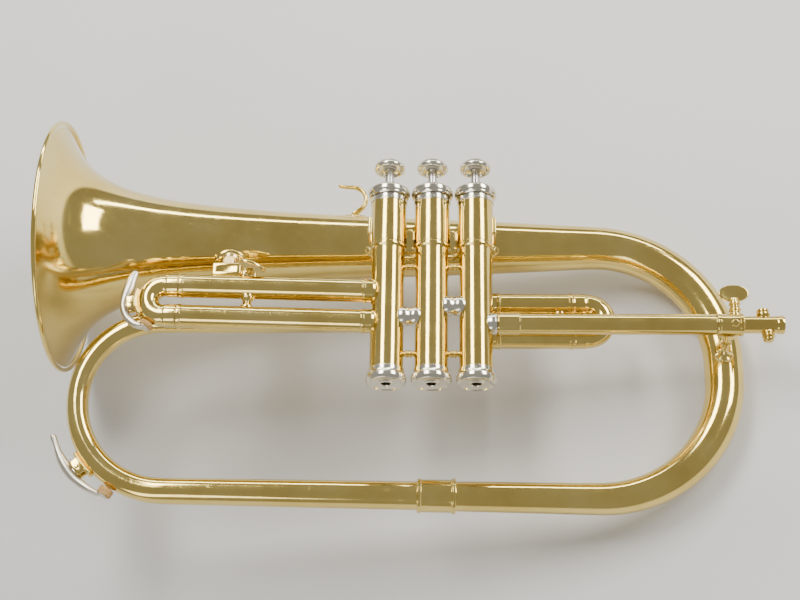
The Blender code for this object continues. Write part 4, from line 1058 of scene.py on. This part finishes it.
def make_key_spring(label, bend, tube_r, pin, body):
    """A wire coiled round each end of the hinge tube; one end rests on the saddle, one stands out."""
    pin_r, pin_angle = pin
    at = polar(pin_r, pin_angle)
    for name, side in (("front", 1), ("back", -1)):
        points = []
        for t in np.linspace(0, 1.6, 40):
            a = math.tau * t + math.radians(pin_angle)
            points.append((at.x + 1.95 * math.cos(a), at.y + 1.95 * math.sin(a), side * (1.5 + 0.5 * t)))
        last = np.array(points[-1])
        end = np.array(polar(tube_r + 0.9, pin_angle - 9.0, side * 2.4))
        points += [tuple(last + (end - last) * s) for s in np.linspace(0, 1, 8)[1:]]
        first = np.array(points[0])
        tip = np.array(polar(pin_r + 1.2, pin_angle - 7.5, side * 1.5))
        points = [tuple(first + (tip - first) * s) for s in np.linspace(1, 0, 8)[:-1]] + points
        size = np.full(len(points), 0.28)
        wire = rod(f"key_spring_{name}_{label}", "spring_steel", smoothed(points, 2), size, size, 10, bend)
        show(wire, body)


def make_water_key(label, bend, tube_r, pin, saddle, pad, lever, bodies):
    """bend is the bend's centre with Z along the hinge line; pin is the hinge's radius and angle round it.

    lever holds (radius, angle, half thickness across the bend, half breadth along the hinge) stations, the
    finger end first; saddle the base's half length and the lugs' width; pad its angle and its top's radius;
    bodies the saddle's and the lever's.
    """
    make_saddle(label, bend, tube_r, pin, *saddle, bodies[0])
    make_lever(label, bend, pin, lever, bodies[1])
    make_pad(label, bend, tube_r, *pad, bodies)
    make_key_spring(label, bend, tube_r, pin, bodies[0])


def lever_radius(lever, degrees):
    """The lever's distance from the bend's centre at an angle, straight between its stations."""
    return float(np.interp(degrees, [station[1] for station in lever], [station[0] for station in lever]))


def make_third_key(holder, half, length):
    bend = holder @ at_point((length + BOW_FERRULE, 0, 0), turn=Matrix.Rotation(THIRD_TILT - math.pi, 4, "Z"))
    lever = [
        (25.2, 137, 2.1, 1.7), (23.9, 146, 2.9, 2.4), (22.7, 157, 3.4, 2.8), (22.7, 168, 3.2, 2.8),
        (23.3, 179, 2.5, 2.4), (23.9, 190, 2.1, 2.2), (23.5, 205, 2.2, 2.2), (22.2, 220, 2.2, 2.4),
        (20.9, 230, 1.9, 2.6), (20.3, 236, 1.4, 2.4)]
    make_water_key(
        "third_slide", bend, half + SLEEVE_R, (19.3, 187.0), (7.6, 7.4), (238.0, 19.9), lever,
        ("third_slide", "third_slide_key"))


def make_bow_key():
    bend = at_point((LOW_X, LOW_R - LOOP_DEPTH, bow_height(LOW_X) + 1.5))
    lever = [
        (67.9, 198, 1.9, 2.6), (67.6, 202, 1.7, 2.2), (67.7, 206, 2.0, 2.4), (67.7, 210, 2.7, 2.9),
        (67.7, 215, 3.0, 2.9), (67.7, 220, 2.7, 2.5), (67.1, 225, 2.4, 2.3), (66.2, 231, 2.0, 2.5),
        (65.3, 236, 1.5, 2.6)]
    make_water_key(
        "bow", bend, LOW_R + BOW_R[1], (62.6, 219.0), (7.0, 9.6), (239.0, 64.6), lever, (ROOT, "bow_key"))


# ---------------------------------------------------------------- studio

def make_floor():
    mesh = bpy.data.meshes.new("studio_floor")
    corners = [(-4.0, -4.0, 0), (4.0, -4.0, 0), (4.0, 4.0, 0), (-4.0, 4.0, 0)]
    mesh.from_pydata(corners, [], [(0, 1, 2, 3)])
    material, shader = new_material("pale_floor")
    shader["Base Color"].default_value = (0.72, 0.71, 0.69, 1.0)
    shader["Roughness"].default_value = 0.75
    mesh.materials.append(material)
    floor = bpy.data.objects.new("studio_floor", mesh)
    bpy.context.scene.collection.objects.link(floor)
    floor.location.z = -0.0004


def softbox(name, direction, distance, size, power, colour=(1.0, 1.0, 1.0), long_axis=Y):
    """A rectangular lamp facing the object, its height along long_axis as far as it can be."""
    lamp = bpy.data.lights.new(name, "AREA")
    lamp.shape = "RECTANGLE"
    lamp.size, lamp.size_y = size
    lamp.energy = power
    lamp.color = colour
    item = bpy.data.objects.new(name, lamp)
    bpy.context.scene.collection.objects.link(item)
    towards = Vector(direction).normalized()
    aside = Vector(long_axis).cross(towards).normalized()
    up = towards.cross(aside)
    item.matrix_world = Matrix.Translation(towards * distance) @ Matrix(
        (aside, up, towards)).transposed().to_4x4()
    return item


def make_lights():
    world = bpy.data.worlds.new("studio")
    bpy.context.scene.world = world
    world.use_nodes = True
    background = world.node_tree.nodes["Background"]
    background.inputs["Color"].default_value = (1.0, 0.985, 0.95, 1.0)
    background.inputs["Strength"].default_value = 0.36
    turn = HORN.to_3x3()
    softbox("window_left", turn @ Vector((-0.38, 0.42, 0.82)), 1.5, (0.44, 0.95), 19.0, (1.0, 0.99, 0.95))
    softbox("window_right", turn @ Vector((0.60, 0.42, 0.67)), 1.5, (0.44, 0.95), 19.0, (1.0, 0.99, 0.95))
    softbox("back_strip", (0.0, 0.93, 0.42), 1.6, (1.9, 0.14), 12.0, (0.96, 1.0, 0.97))
    softbox("front_fill", (-0.3, -0.9, 0.5), 1.9, (1.2, 0.5), 7.0, (1.0, 0.98, 0.94))


def make_camera():
    """The camera, placed in the instrument's axes in millimetres."""
    data = bpy.data.cameras.new("camera")
    data.sensor_width, data.lens = SENSOR_WIDTH, LENS
    data.clip_start, data.clip_end = 0.01, 20.0
    camera = bpy.data.objects.new("camera", data)
    bpy.context.scene.collection.objects.link(camera)
    turn = HORN.to_3x3()
    back = -(turn @ Vector(CAMERA_AHEAD)).normalized()
    top = turn @ Vector(CAMERA_UP)
    side = top.cross(back).normalized()
    camera.matrix_world = (
        Matrix.Translation(HORN @ (Vector(CAMERA_AT) * MM))
        @ Matrix((side, back.cross(side), back)).transposed().to_4x4())
    bpy.context.scene.camera = camera


def main():
    make_camera()
    make_bell()
    make_loop()
    for number in (1, 2, 3):
        make_casing(number)
        make_caps(number)
        make_piston(number)
        make_button(number)
        make_spring(number)
    make_between_casings()
    make_bell_brackets()
    make_slides()
    make_leadpipe()
    make_pull_knobs()
    make_clamp()
    make_leadpipe_brace()
    make_lyre_holder()
    make_finger_hook()
    make_bow_key()
    make_floor()
    make_lights()


main()
